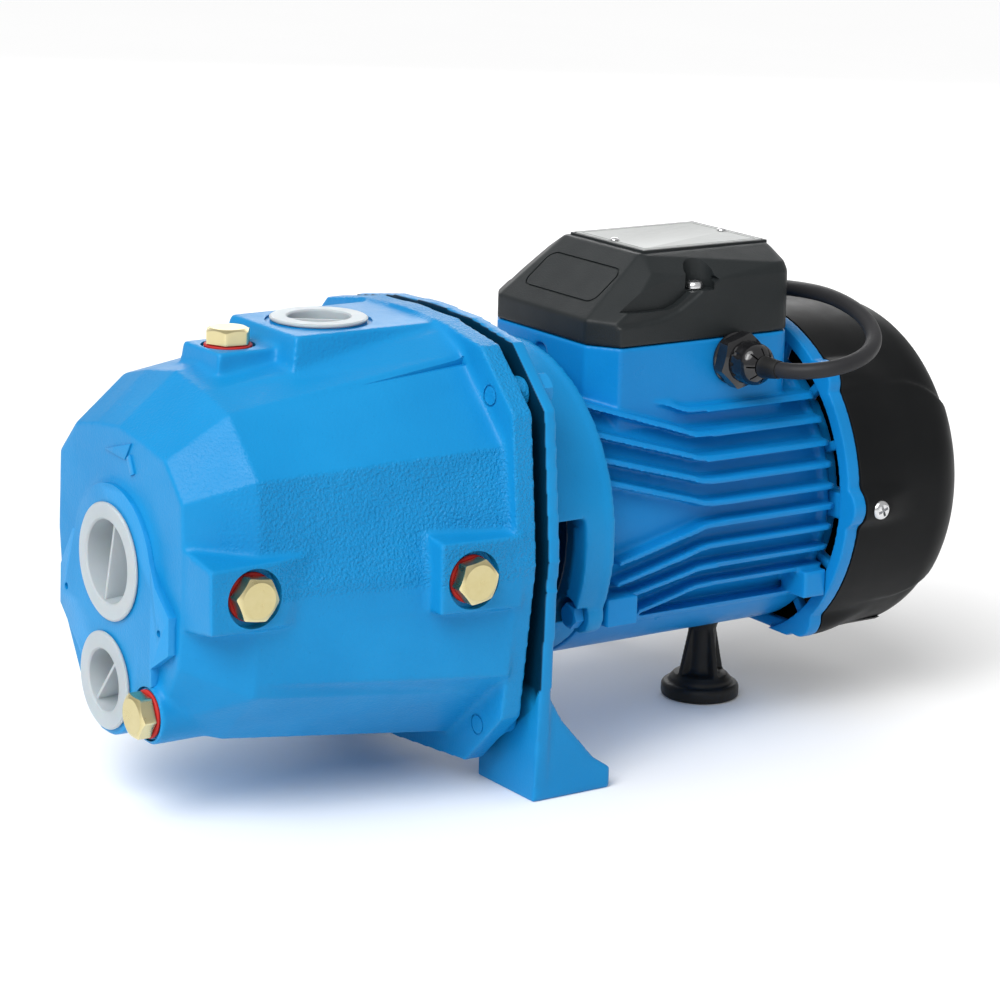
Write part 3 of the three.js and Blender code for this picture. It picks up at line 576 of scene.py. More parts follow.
def coil_line():
    """Two and a half turns lying flat, then over the others and out to the plug."""
    low = CORD_RADIUS + 0.15
    pitch = 7.3
    line = []
    for step in range(0, 76):
        turns = step / 30.0
        angle = -math.pi / 2 - 2 * math.pi * turns
        inner = 49.4 - pitch * turns
        rise = min(1.0, max(0.0, (turns - 2.0) / 0.3))
        out = min(1.0, max(0.0, (turns - 2.22) / 0.28))
        ease_up = rise * rise * (3 - 2 * rise)
        ease_out = out * out * (3 - 2 * out)
        radius = inner + (42.0 - inner) * ease_out
        z = low + 7.6 * ease_up
        line.append((COIL[0] + radius * math.cos(angle), COIL[1] + radius * math.sin(angle), z))
    return line


def swept(line, radius, sides=20, inner=None):
    """A round tube along a line, with a frame that doesn't twist. The radius may change on the way."""
    line = np.array(line, float)
    radii = np.broadcast_to(radius, len(line))
    ahead = np.gradient(line, axis=0)
    ahead /= np.linalg.norm(ahead, axis=1)[:, None]
    across = np.cross(ahead[0], (0.0, 0.0, 1.0))
    across /= np.linalg.norm(across)
    rings, lining = [], []
    for spot, way, size in zip(line, ahead, radii):
        across = across - way * across.dot(way)
        across /= np.linalg.norm(across)
        other = np.cross(way, across)
        turns = [2 * math.pi * k / sides for k in range(sides)]
        rays = [math.cos(a) * across + math.sin(a) * other for a in turns]
        rings.append([tuple(spot + size * ray) for ray in rays])
        if inner:
            lining.append([tuple(spot + inner * ray) for ray in rays])
    if inner:
        return loft(rings + list(reversed(lining)), closed=True)
    return loft(rings)


def lead_line():
    """Round in a loop from the gland, over the fan cover and down the far side to the floor."""
    low = CORD_RADIUS + 0.15
    tip = -46.5 - 21.6
    loop = []
    for k in range(9):
        share = k / 8
        angle = math.pi * share
        loop.append((
            GLAND_X + LOOP["radius"] * (1 - math.cos(angle)),
            tip - LOOP["straight"] - LOOP["radius"] * math.sin(angle),
            GLAND_Z + LOOP["rise"] * share * share,
        ))
    landing = []
    for k in range(5):
        angle = math.pi / 8 * k
        out = DROP["bend"] * (1 - math.cos(angle))
        height = low + DROP["bend"] * (1 - math.sin(angle))
        landing.append((DROP["x"] - 0.95 * out, DROP["y"] + 0.31 * out, height))
    over = [
        (180, -48, 193), (180.5, -25, 192.5), (181, -3, 190), (181.5, 22, 185.5), (182, 45, 178),
        (184, 68, 163), (186, 88, 136), (187, 96, 104), (DROP["x"], DROP["y"] - 1, 64),
    ]
    along = [(140, 113, low), (122, 116.3, low), (96, 118, low), (70, 116.4, low), (38, 112, low)]
    tail = [(24, 202, low + 7.9), (38, 202, 11.9), (52, 202, 12.0), (56, 202, 12.0)]
    return smooth_line([(GLAND_X, tip, GLAND_Z)] + loop + over + landing + along + coil_line() + tail, 2.2)


def cord():
    line = lead_line()
    tube_skin = swept(line, CORD_RADIUS)
    piece = show("mains_lead", tube_skin, cable_sheath, ROOT, ("cord_run", "cord_coil"))
    path = [tuple((Vector(p) + SHIFT) * MM) for p in line]
    length = sum(math.dist(p, q) for p, q in zip(path, path[1:]))


# ---- Casing -----------------------------------------------------------------
FACE_X, PAD_X, CAVITY_X = -149.0, -152.5, -141.0
FLANGE_X, REAR_X = -15.5, -5.5
BIG_PORT, LOW_PORT = (1.0, 103.7), (4.0, 52.7)
BIG_BORE, LOW_BORE, TOP_BORE = 19.6, 15.2, 15.2
TOP_PORT = (-56.0, 195.0)
DRAIN = (-30.5, 47.7)
PRIMING = (-99.0, 188.5)
GAUGES = [(-128.4, -74.0, 103.3), (-36.2, -90.5, 102.5)]
GAUGE_DEEP, GAUGE_SPOT = (4.7, 3.7), 12.2
SPOT, SPOT_DEEP, THREAD_HOLE = 11.2, 1.0, 6.6
SECTIONS = [
    (FACE_X, [
        (0, 159.5), (20, 157), (38, 153.3), (38.6, 152.6), (52, 138.8), (53.5, 106), (49.9, 75), (49.4, 71),
        (32, 42), (0, 36),
    ]),
    (-123.4, [
        (0, 180), (24, 176), (43.6, 170.6), (44.2, 170), (67, 148.2), (70, 105), (66.6, 65), (65.4, 59.2),
        (40, 35), (0, 32),
    ]),
    (-14.5, [
        (0, 195), (32.4, 193), (47.2, 186), (48.8, 182.6), (79.4, 153.4), (88, 105), (87, 58), (74.2, 48.2),
        (44.5, 22), (0, 17),
    ]),
]
FLANGE = [(0, 197.6), (30, 196), (60, 191), (84.5, 167), (91, 105), (82.5, 38), (56, 12.5), (0, 7.5)]
CLAMPS = [(-68, 172), (68, 172), (-66, 33), (66, 33)]


def both_sides(half):
    return list(half) + [(-y, z) for y, z in reversed(half[1:-1])]


def casing_ring(section, share=1.0, x=None):
    x = section[0] if x is None else x
    return [(x, y * share, SHAFT_Z + (z - SHAFT_Z) * share) for y, z in both_sides(section[1])]


def block(top, base, face, foot):
    return hull([
        (x, y, z)
        for (x0, x1, y0, y1), z in ((top, face), (base, foot))
        for x in (x0, x1)
        for y in (y0, y1)
    ])


def rough_mask(mesh):
    """Marks the facets whose as-cast skin shows: the upper sides, the flange rim and block sides."""
    x, y, z = vertex_rows(mesh, "co").T
    normals = vertex_rows(mesh, "normal")
    side = np.abs(y)
    upward = normals[:, 2]
    mask = np.full(len(mesh.vertices), 0.08)
    mask[(side > 60) & (z > 100) & (upward < 0.4)] = 1.0
    mask[(side > 60) & (z > 100) & (upward < 0.4) & (x < -123)] = 0.4
    mask[(x < -122) & (z > 140) & (upward > 0.3)] = 0.2
    mask[(x > FLANGE_X - 1) & (np.abs(normals[:, 0]) < 0.5)] = 0.7
    mask[(z > 178) & (side > 24) & (side < 33) & (upward < 0.6)] = 0.3
    mask[(side > 60) & (z <= 100)] = 0.15
    mask[normals[:, 0] < -0.9] = 0.06
    mean = neighbour_mean(mesh)
    for _ in range(3):
        mask = 0.5 * mask + 0.5 * mean(mask)
    return marked(mesh, "rough", mask)


def gap_shade(mesh, low, high, facing):
    """Marks painted shade: the paint is darkened on the joint faces between casing and bracket and inside the
    bell, where shade falls.
    """
    x, y, z = vertex_rows(mesh, "co").T
    side = np.abs(y)
    out = vertex_rows(mesh, "normal")[:, 0] * facing
    covered = z > 14 + 1.05 * np.maximum(side - 54, 0)
    mask = ((x > low) & (x < high) & (out > 0.6) & covered).astype(float)
    # Painted shade inside the bell, where little light reaches through the windows.
    mask[(np.hypot(side, z - SHAFT_Z) < 65.4) & (x > 6.5) & (x < 45)] = 0.85
    return marked(mesh, "dark", mask)


def casing():
    body = loft([casing_ring(section) for section in SECTIONS])
    flange = prism("x", both_sides(FLANGE), FLANGE_X, REAR_X)
    platform = block((-82.5, -12, -26.5, 26.5), (-86.5, -12, -30.5, 30.5), TOP_PORT[1], 180)
    priming = block((-111.5, -80, -15, 15), (-115, -80, -18, 18), PRIMING[1], 166)
    side_boss = hull([
        (-148.6, -40, 123.5), (-148.6, -54.5, 119.5), (-148.2, -74, 116.5), (-118, -74, 116.8),
        (-101, -71.8, 118), (-101, -40, 123.5), (-147.9, -74, 90.3), (-116, -74, 90.3), (-100, -69, 88),
        (-148.6, -40, 85), (-100, -40, 85),
    ])
    rear_pad = hull([
        (-51.8, -90.5, 119), (-51.6, -90.5, 89.8), (-53, -70, 123), (-53, -70, 88),
        (-12, -90.5, 118), (-12, -90.5, 87.8), (-12, -70, 122), (-12, -70, 86),
    ])
    pad = disc("x", (0, 103), 33, PAD_X, FACE_X + 1)
    plate = prism(
        "x",
        [(34, 110), (45, 92.3), (45.5, 75.5), (30, 61), (20, 50), (-20, 50), (-34, 60), (-33.5, 67.5),
         (-47.8, 76.5), (-48, 92), (-36.5, 101.7), (-32, 111)],
        PAD_X, FACE_X + 4,
    )
    soft_pad = hull([
        (x, y, z)
        for x, radius in ((PAD_X + 2.0, 33.5), (FACE_X + 2, 36))
        for y, z in circle((0, 103), radius, 48)
    ])
    lobes = [disc("x", LOW_PORT, 23, PAD_X, -118), disc("x", DRAIN, 12.6, PAD_X, -122)]
    bosses = [disc("x", spot, 7, REAR_X - 1, -0.3) for spot in CLAMPS]
    arrow = [
        prism("x", [(11.3, 148.2), (-11.2, 154.9), (-6.3, 147.2)], FACE_X - 0.9, FACE_X + 1),
        prism("x", [(-7.6, 148.4), (-10.4, 150.2), (-14.0, 143.0), (-11.0, 141.4)], FACE_X - 0.9, FACE_X + 1),
    ]
    ear = [(-21, 188), (-5.5, 197.4), (-5.5, 180), (-21, 180)]
    ears = [prism("y", ear, *sorted((side * 30, side * 2))) for side in (-1, 1)]
    whole = union([body, flange, platform, priming, side_boss, rear_pad, *ears, *lobes, *bosses, soft_pad])
    skin = cast(whole, 0.9, 3, 0.42, 20)
    skin = union([skin, eased(union([pad, plate]), 0.8, 3), *[eased(part, 0.3) for part in arrow]])
    cavity = loft([
        casing_ring(SECTIONS[0], 0.8, CAVITY_X),
        casing_ring(SECTIONS[1], 0.9, -118),
        casing_ring(SECTIONS[2], 0.9, FLANGE_X - 2),
    ])
    cuts = [
        cavity,
        rod(70, FLANGE_X - 4, REAR_X + 1),
        disc("x", BIG_PORT, BIG_BORE, PAD_X - 1, CAVITY_X + 2),
        disc("x", LOW_PORT, LOW_BORE, PAD_X - 1, CAVITY_X + 22),
        disc("z", (TOP_PORT[0], 0), TOP_BORE, 160, TOP_PORT[1] + 1),
        disc("x", DRAIN, SPOT, PAD_X - 1, PAD_X + SPOT_DEEP),
        disc("x", DRAIN, THREAD_HOLE, PAD_X - 1, -116),
        disc("z", (PRIMING[0], 0), SPOT, PRIMING[1] - SPOT_DEEP, PRIMING[1] + 1),
        disc("z", (PRIMING[0], 0), THREAD_HOLE, 156, PRIMING[1] + 1),
    ]
    for (x, y, z), deep in zip(GAUGES, GAUGE_DEEP):
        cuts.append(disc("y", (x, z), GAUGE_SPOT, y - 1, y + deep))
        cuts.append(disc("y", (x, z), THREAD_HOLE, y - 1, -48))
    moat = without(disc("z", (0, 0), SPOT, -2.6, 0), [disc("z", (0, 0), 10.4, -4, 2)])
    cuts.append(placed(moat.copy(), "up", (PRIMING[0], 0, PRIMING[1])))
    cuts.append(placed(moat, "front", (PAD_X, *DRAIN)))
    cuts.append(without(
        disc("z", (TOP_PORT[0], 0), 22.4, TOP_PORT[1] - 0.9, TOP_PORT[1] + 1),
        [disc("z", (TOP_PORT[0], 0), 20.2, TOP_PORT[1] - 2, TOP_PORT[1] + 2)],
    ))
    cuts += [disc("x", (side * 39.8, 83.7), 1.5, PAD_X - 1, PAD_X + 1.2, 24) for side in (-1, 1)]
    for side in (-1, 1):
        cuts.append(hull([
            (-104, side * 46.2, 173.2), (-104, side * 46, 173.5), (-16, side * 47.6, 181.4),
            (-16, side * 48.4, 185), (-16, side * 51, 181.3), (-16, side * 52, 184.6),
        ]))
    for spot in ((-68, 172), (-65, 31), (68, 172), (65, 31)):
        cuts.append(without(
            disc("x", spot, 4.6, FLANGE_X - 2, FLANGE_X + 0.5, 48),
            [disc("x", spot, 3.7, FLANGE_X - 3, FLANGE_X + 1, 48)],
        ))
    shaded = gap_shade(rough_mask(without(skin, cuts)), REAR_X - 0.6, REAR_X + 0.4, 1)
    show("casing_skin", shaded, pump_paint, replaces=("pump_casing",))


casing()


# ---- Small turned and hexagonal pieces --------------------------------------
def hex_head(across, low, high, drop=1.0, count=120):
    """A hexagon whose corners are turned down by a cone, as on a real bolt."""
    flat = across / 2
    crown = flat * 0.89
    rings = [[], [], [], [], []]
    for k in range(count):
        angle = 2 * math.pi * k / count
        corner = flat / math.cos((angle % (math.pi / 3)) - math.pi / 6)
        corner = min(corner, across / math.sqrt(3) * 0.985)
        edge = high - (corner - crown) * drop * 0.577
        for ring, radius, z in zip(
            rings,
            (corner - 0.35, corner, corner, crown, crown - 0.25),
            (low, low + 0.35, edge - 0.05, high - 0.12, high),
        ):
            ring.append((radius * math.cos(angle), radius * math.sin(angle), z))
    return loft(rings)


GAP = 0.3
WASHER_THICK = 1.4
PLUG_HEAD = 6.6


def thread(radius, low, high, pitch=1.6):
    """A shank with rolled grooves."""
    profile = [(0.0, low), (radius - 0.9, low)]
    z = low + 0.6
    while z + pitch < high:
        profile += [(radius - 0.75, z), (radius, z + 0.55), (radius, z + 0.8), (radius - 0.75, z + 1.35)]
        z += pitch
    profile += [(radius - 0.75, high), (0.0, high)]
    return spun(profile, 48)


def plug(name, washer, body, aim, spot, turn):
    low = WASHER_THICK + GAP
    head = hex_head(17, low, low + PLUG_HEAD)
    made = union([head, thread(5.9, -9, low + 1)])
    show(name + "_look", placed(made, aim, spot, turn), zinc_yellow, body, (name,), 25.0)
    ring = spun([
        (6.2, 0.3), (9.6, 0.15), (10.0, 0.5), (10.0, 1.1), (9.6, 1.5), (6.2, 1.4),
    ])
    show(washer + "_look", placed(ring, aim, spot), red_fibre, body, (washer,))


plug("priming_plug", "priming_washer", "priming_plug_body", "up", (PRIMING[0], 0, PRIMING[1] - SPOT_DEEP), -5)
plug("drain_plug", "drain_washer", "drain_plug_body", "front", (PAD_X + SPOT_DEEP, *DRAIN), 26)
for kind, turn, deep, (x, y, z) in zip(("front", "rear"), (-8, 11), GAUGE_DEEP, GAUGES):
    plug("gauge_plug_" + kind, "gauge_washer_" + kind, f"gauge_{kind}_body", "near", (x, y + deep, z), turn)


def port_cap(name, body, aim, spot, flange, cup, depth, turn):
    shell = spun([
        (0, -depth), (cup - 1.0, -depth), (cup - 0.2, -depth + 0.8), (cup, 0.3), (flange - 0.4, 0.3),
        (flange, 0.7),
        (flange, 1.3), (flange - 0.7, 1.8), (cup - 1.2, 1.8), (cup - 1.9, 1.2), (cup - 2.2, -2.0),
        (cup - 2.8, -depth + 2.4), (cup - 4.2, -depth + 1.1), (0, -depth + 1.0),
    ], 128)
    web = eased(box((-cup + 1.2, cup - 1.2), (-0.75, 0.75), (-depth + 0.4, 0.2)), 0.3)
    made = union([shell, web])
    show(name + "_look", placed(made, aim, spot, turn), milky_plastic, body, (name,))


port_cap("suction_cap", "suction_cap_body", "front", (PAD_X, *BIG_PORT), 24.5, BIG_BORE - GAP, 13, -14)
port_cap("drive_port_cap", "drive_cap_body", "front", (PAD_X, *LOW_PORT), 20.5, LOW_BORE - GAP, 12, -40)
top_spot = (TOP_PORT[0], 0, TOP_PORT[1])
port_cap("discharge_cap", "discharge_cap_body", "up", top_spot, 20.5, TOP_BORE - GAP, 11, -35)

TIES = [(-60, 70), (60, 70), (-42, 139.5), (42, 139.5)]
LID_SCREW = (110, 38.3, 201.2)
COVER_SCREW = (185, 103)
for k, (y, z) in enumerate(CLAMPS):
    made = union([hex_head(13, 0, 5.3), thread(4, -17.5, 0.5, 1.2)])
    name = f"clamp_bolt_{k + 1}"
    made = placed(made, "rear", (6 + GAP, y, z), 11.5)
    show(name + "_look", made, pump_paint, ROOT, (name,), 25.0)
for k, (y, z) in enumerate(TIES):
    made = union([hex_head(10, 0, 5), thread(3, -22, 0.5, 1.0)])
    name = f"tie_bolt_{k + 1}"
    made = placed(made, "front", (38 - GAP, y, z), 17)
    show(name + "_look", made, motor_paint, ROOT, (name,), 25.0)


def cross_screw(radius, tall, shank, long):
    """A pan head with a cross recess."""
    profile = [(0, tall)]
    for k in range(7):
        angle = math.radians(15 * k)
        profile.append((radius * (0.55 + 0.45 * math.sin(angle)), tall * (0.25 + 0.75 * math.cos(angle))))
    profile += [(radius, 0.0), (shank, 0.0), (shank, -long), (0, -long)]
    head = spun(list(reversed(profile)), 64)
    slots = [
        box((-radius * 0.62, radius * 0.62), (-radius * 0.14, radius * 0.14), (tall * 0.35, tall + 1)),
        box((-radius * 0.14, radius * 0.14), (-radius * 0.62, radius * 0.62), (tall * 0.35, tall + 1)),
    ]
    return without(head, slots)


for side, name in ((-1, "cover_screw_near"), (1, "cover_screw_far")):
    spot = (COVER_SCREW[0], side * 82.3, COVER_SCREW[1])
    made = placed(cross_screw(4.4, 2.6, 2, 13), "near" if side < 0 else "far", spot, 22)
    show(name + "_look", made, bright_steel, ROOT, (name,), 28.0)
for side, name in ((-1, "lid_screw_near"), (1, "lid_screw_far")):
    spot = (LID_SCREW[0], side * LID_SCREW[1], LID_SCREW[2] + GAP)
    made = placed(cross_screw(4.1, 2.8, 2, 11), "up", spot, 30)
    show(name + "_look", made, bright_steel, "terminal_lid", (name,), 28.0)

# ---- Bracket ----------------------------------------------------------------
PLATE = 6.0
BELL_END = 46.0
BRACKET = [(0, 197.6), (30, 196), (60, 191), (84.5, 167), (91, 105), (82.5, 38), (50, 16), (0, 16)]


def leg(side):
    outer, inner = 85.7 * side, 43.6 * side
    front = prism("x", [(outer, 0), (inner, 0), (inner, 30), (74 * side, 92), (90 * side, 92)], 0, PLATE)
    base = box((0, 39.5), sorted((inner, outer)), (0, 9))
    edge = sorted((outer, outer - 8 * side))
    web = prism("y", [(0, 0), (39.5, 0), (39.5, 9), (31, 14.5), (14, 33.5), (6.5, 46), (0, 46)], *edge)
    return [front, base, web]


def bracket():
    upper_half = box((0, 60), (-90, 90), (66, 200))
    upper = common(tube(66, 74, PLATE - 1, BELL_END), upper_half)
    bead = common(tube(70, 74.7, 42.6, BELL_END), upper_half)
    lower = tube(58, 66, PLATE - 1, BELL_END)
    wall = rod(66, 40, BELL_END)
    shoulder = common(disc("x", (0, SHAFT_Z), 73, 40, BELL_END, 192), upper_half)
    lugs = [disc("x", (side * 60, 70), 8.5, 38, BELL_END) for side in (-1, 1)]
    plate = prism("x", both_sides(BRACKET), 0, PLATE)
    whole = union([
        plate, tube(61, 66, -8, 1), upper, bead, lower, wall, shoulder, rod(24, 28, BELL_END), *lugs,
        *leg(1), *leg(-1),
    ])
    windows = [box((9.5, 31.5), (low, low + 50), (61, 115.5)) for low in (-90, 40)]
    pockets = [disc("x", spot, 8.4, 9.5, 38, 48) for spot in TIES]
    skin = cast(without(whole, windows + pockets), 1.0, 4, 0.42)
    cuts = [
        rod(15, -10, 2.2, 96), rod(9.4, 2, 33, 96), rod(17.8, 32, BELL_END + 1, 96),
        *[disc("x", spot, 3.4, 36, BELL_END + 1, 32) for spot in TIES],
        *[disc("x", spot, 4.4, -1, PLATE + 1, 32) for spot in CLAMPS],
    ]
    shaded = gap_shade(without(skin, cuts), -9, 0.6, -1)
    show("bracket_skin", shaded, pump_paint, replaces=("bracket",))


bracket()

# ---- Motor housing ----------------------------------------------------------
BARREL_FROM, BARREL_TO, BARREL = 46.3, 172.0, 60.0
FIN_RADIUS, FIN_THICK, KINK = 69.0, 2.6, 102.0
FINS = [
    (150, 156.5, 83), (140.6, 157.6, 47.2), (131, 146.4, 47.2), (121.7, 136.5, 47.2), (112.2, 127, 49),
    (103.3, 91.6, 54), (93.6, 81.5, 55), (83.8, 74.9, 64), (74.5, 65, 73),
]
LEDGE_Z = 63.0
REAR_FOOT_X = 153.5
BOX = {"front": 56.6, "corner": 66.0, "rear": 159.5, "nose": 32.9, "half": 46.5, "round": 7.0, "seam": 179.7}


def fin(rear, front, start):
    soft = 9.0
    fall = (front - rear) / (KINK - start) * soft
    bend = [(-soft, fall), (-soft / 2, fall * 0.40), (0, fall * 0.12), (soft, 0)]
    line = [(start, front)] + [(KINK + dx, rear + dz) for dx, dz in bend] + [(BARREL_TO, rear)]
    under = [(x, z - FIN_THICK / 2) for x, z in line]
    over = [(x, z + FIN_THICK / 2) for x, z in reversed(line)]
    return prism("y", under + over, -FIN_RADIUS - 1, FIN_RADIUS + 1)


def rear_corner(inset, count=5):
    """The round rear corner of the box, from the side to the back."""
    centre = (BOX["rear"] - BOX["round"], BOX["half"] - BOX["round"])
    radius = BOX["round"] - inset
    turns = [math.pi / 2 * (1 - k / (count - 1)) for k in range(count)]
    return [(centre[0] + radius * math.cos(a), centre[1] + radius * math.sin(a)) for a in turns]


def box_outline(inset):
    nose = (BOX["front"] + inset, BOX["nose"])
    half = [nose, (BOX["corner"] + inset, BOX["half"] - inset), *rear_corner(inset)]
    return [(x, -y) for x, y in half] + list(reversed(half))


def disc_slot(deep, half, low, high):
    """An upright slot with a round top, cut into a wall across X."""
    arch = circle((0, high - half), half, 32)[1:16]
    return prism("x", [(-half, low), (half, low)] + arch, *deep)


def housing():
    barrel = rod(BARREL + 1.2, BARREL_FROM, BARREL_TO)
    reach = turned([
        (0, BARREL_FROM), (67.5, BARREL_FROM), (FIN_RADIUS, 49), (FIN_RADIUS, 168.5), (67.5, 171.4),
        (0, 171.5),
    ])
    fins = [common(fin(*one), reach) for one in FINS]
    rail = common(rod(66.5, BARREL_FROM, BARREL_TO), box((40, 180), (-90, 90), (0, LEDGE_Z)))
    ledge = common(box((72, BARREL_TO), (-90, 90), (LEDGE_Z - 3, LEDGE_Z)), reach)
    lugs = []
    for side in (-1, 1):
        lugs.append(box((48, 64), sorted((side * 50, side * 68)), (64, 77)))
        lugs.append(box((157, 169.2), sorted((side * 50, side * 67)), (62, 74)))
    base = prism("z", box_outline(0), 138, BOX["seam"])
    pad = disc("z", (REAR_FOOT_X, 0), 12, 37.8, 46)
    whole = union([barrel, *fins, rail, ledge, rod(63, BARREL_TO - 4, BARREL_TO), *lugs, base, pad])
    skin = cast(without(whole, [disc_slot((56.0, 59.1), 5.0, 158, 175)]), 0.85, 3, 0.4)
    bored = without(skin, [rod(54, BARREL_FROM - 1, BARREL_TO + 1)])
    skin = union([bored, *[disc("x", spot, 5, BARREL_FROM, 62, 48) for spot in TIES[2:]]])
    cuts = [
        prism("z", box_outline(4.5), 166.5, BOX["seam"] + 1),
        disc("y", (GLAND_X, GLAND_Z), 6.4, -BOX["half"] - 1, -BOX["half"] + 6, 48),
        *[disc("x", spot, 3.4, BARREL_FROM - 1, 62.5, 32) for spot in TIES],
        disc("z", (REAR_FOOT_X, 0), 3.4, 30, 45, 32),
        rod(61.4, BARREL_TO - 2, BARREL_TO + 1),
    ]
    show("motor_skin", without(skin, cuts), motor_paint, replaces=("motor_housing",))


housing()

# ---- Rear end shield and fan cover --------------------------------------------
BUMP_ANGLES = [0, 45, 135, 180, 230, 310]
SPOKES = [0, 22, 45, 68, 112, 135, 158, 180, 205, 230, 310, 335]
FLAT_Z = 36.4


def polar(radius, degrees):
    return radius * math.cos(math.radians(degrees)), SHAFT_Z + radius * math.sin(math.radians(degrees))


def shield():
    bumps = [without(disc("x", polar(74, d), 9.6, 169.5, 176.5), [rod(72.6, 168, 180)]) for d in BUMP_ANGLES]
    across = (-2.2 + SHAFT_Z, 2.2 + SHAFT_Z)
    spokes = [moved(box((172.3, 176.5), (58, 74), across), spin_x(d)) for d in SPOKES]
    lugs = [box((172.3, 193), span, (97, 109)) for span in ((-74, -58), (58, 74))]
    hoop = common(tube(72.6, 79, 169.5, 176.5), box((160, 180), (-90, 90), (FLAT_Z, 200)))
    bar = common(rod(79, 172.3, 176.5), box((160, 180), (-90, 90), (FLAT_Z, FLAT_Z + 5.6)))
    whole = union([
        rod(60.8, 172.3, 178.5), rod(24, 157, 178.5), tube(50, 53.6, 166, 173.3), hoop, bar, *bumps,
        *spokes, *lugs,
    ])
    skin = cast(whole, 0.8, 3, 0.45)
    cuts = [
        rod(17.8, 156, 169.2, 96), rod(9, 156, 180, 96),
        *[disc("y", COVER_SCREW, 2.3, low, low + 26, 32) for low in (-90, 64)],
    ]
    show("rear_shield_skin", without(skin, cuts), motor_paint, ROOT, ("rear_end_shield",))


shield()
COVER_FROM, COVER_TO, COVER_RADIUS, COVER_WALL = 176.8, 244.0, 79.0, 1.8


def step_up(value, low, high):
    t = min(1.0, max(0.0, (value - low) / (high - low)))
    return t * t * (3 - 2 * t)


def cover_radius(x, degrees):
    """The cover's outside: round, with a side lobe each side, softened bumps and a dimple at each screw."""
    sharp = 0.0
    for side in (0.0, 180.0):
        off = abs((degrees - side + 180) % 360 - 180)
        edge = 38.5 - 9.0 * step_up(x, 212, 243)
        sharp = max(sharp, 1 - step_up(off, edge, edge + 2.4))
    radius = COVER_RADIUS - 1.7 * (1 - sharp) * step_up(x, 184, 232)
    for d in BUMP_ANGLES:
        off = abs((degrees - d + 180) % 360 - 180) * math.pi / 180 * COVER_RADIUS
        fade = 1 - step_up(x, COVER_FROM, COVER_FROM + 34)
        radius += 4.0 * fade * math.exp(-((off / 7.0) ** 4))
    for side in (0.0, 180.0):
        off = abs((degrees - side + 180) % 360 - 180) * math.pi / 180 * COVER_RADIUS
        reach = math.hypot(off + 1.0, x - COVER_SCREW[0])
        radius += 1.1 * math.exp(-((reach / 15.0) ** 2)) - 0.5 * math.exp(-((reach / 6.5) ** 6))
    return radius


def fan_cover():
    around = 360
    crown = 22.0

    def station(t):
        """Distance along the side, then round the crown, then across the back."""
        straight = COVER_TO - crown - COVER_FROM
        if t <= 0.62:
            return COVER_FROM + straight * t / 0.62, 0.0
        if t <= 0.88:
            angle = (t - 0.62) / 0.26 * math.pi / 2
            return COVER_TO - crown + crown * math.sin(angle), crown * (1 - math.cos(angle))
        return COVER_TO, crown + (COVER_RADIUS - crown) * (t - 0.88) / 0.12

    def skin(inset):
        """Rings from the open end to the middle of the back."""
        rings = []
        for t in range(100):
            x, inward = station(t / 100)
            from_side = inset if inward < crown else 0
            from_back = (inset if inward > 0.3 * crown else 0) * min(1, inward / crown)
            ring = []
            for k in range(around):
                degrees = 360 * k / around
                radius = max(0.5, cover_radius(x, degrees) - inward - from_side)
                ring.append((x - from_back, *polar(radius, degrees)))
            rings.append(ring)
        return rings

    shell = loft(list(reversed(skin(0.0))) + skin(COVER_WALL))
    slot = slot_outline(15, 56, 2.4)
    cuts = [moved(prism("x", slot, COVER_TO - 8, COVER_TO + 2), spin_x(30.0 * k)) for k in range(12)]
    cuts += [disc("y", COVER_SCREW, 2.6, low, low + 20, 32) for low in (-90, 70)]
    cuts.append(box((170, 260), (-100, 100), (-10, FLAT_Z)))
    slab = box((170, 260), (-100, 100), (FLAT_Z, FLAT_Z + COVER_WALL))
    made = union([without(shell, cuts), common(rod(78.2, COVER_FROM, COVER_TO - 20), slab)])
    show("fan_cover_skin", made, cover_plastic, ROOT, ("fan_cover",), 28.0)


def slot_outline(inner, outer, half):
    """A slot along +Y with round ends, about the shaft."""
    points = []
    for centre, start in ((outer - half, -math.pi / 2), (inner + half, math.pi / 2)):
        for k in range(13):
            angle = start + math.pi * k / 12
            points.append((centre + half * math.cos(angle), SHAFT_Z + half * math.sin(angle)))
    return points


fan_cover()

# ---- Terminal cover, gland, foot and mains plug --------------------------------
LID_TOP, LID_SEAM, LID_CAVITY = 216.0, 180.0, 6.0
PLATE_SPAN, PLATE_HALF = (92.0, 157.4), 25.5


def lid_block(inset, low, top):
    half = BOX["half"] - inset
    points = []
    for x, y, z in (
        (BOX["front"] + inset, BOX["nose"], low), (BOX["corner"] + inset, half, low),
        *[(x, y, low) for x, y in rear_corner(inset)],
        (BOX["front"] + inset, BOX["nose"], 190.6 - inset), (BOX["corner"] + inset, half, 190 - inset),
        (119, half - 0.6, 206 - inset), *[(x, y - 0.6, 206 - inset) for x, y in rear_corner(inset)],
        *[(x - 0.6, y - 2.6, 210 - inset) for x, y in rear_corner(inset)],
        (81 + inset, 28, 210 - inset), (87 + inset, 38 - inset, 209.4 - inset),
        (150 - inset, 39.6 - inset, 211.6 - inset), (156 - inset, 36.5 - inset, 212.6 - inset),
        (158.6 - inset, 31 - inset, 214 - inset),
        (88 + inset, 27.5 - inset, top), (90 + inset, 30 - inset, top - 0.5), (157 - inset, 29 - inset, top),
        (159.3 - inset, 26 - inset, top - 0.4),
    ):
        points += [(x, y, z), (x, -y, z)]
    return hull(points)


def both(outline, near, far):
    """The same sideways cut on both sides."""
    return [prism("y", outline, -far, -near), prism("y", outline, near, far)]


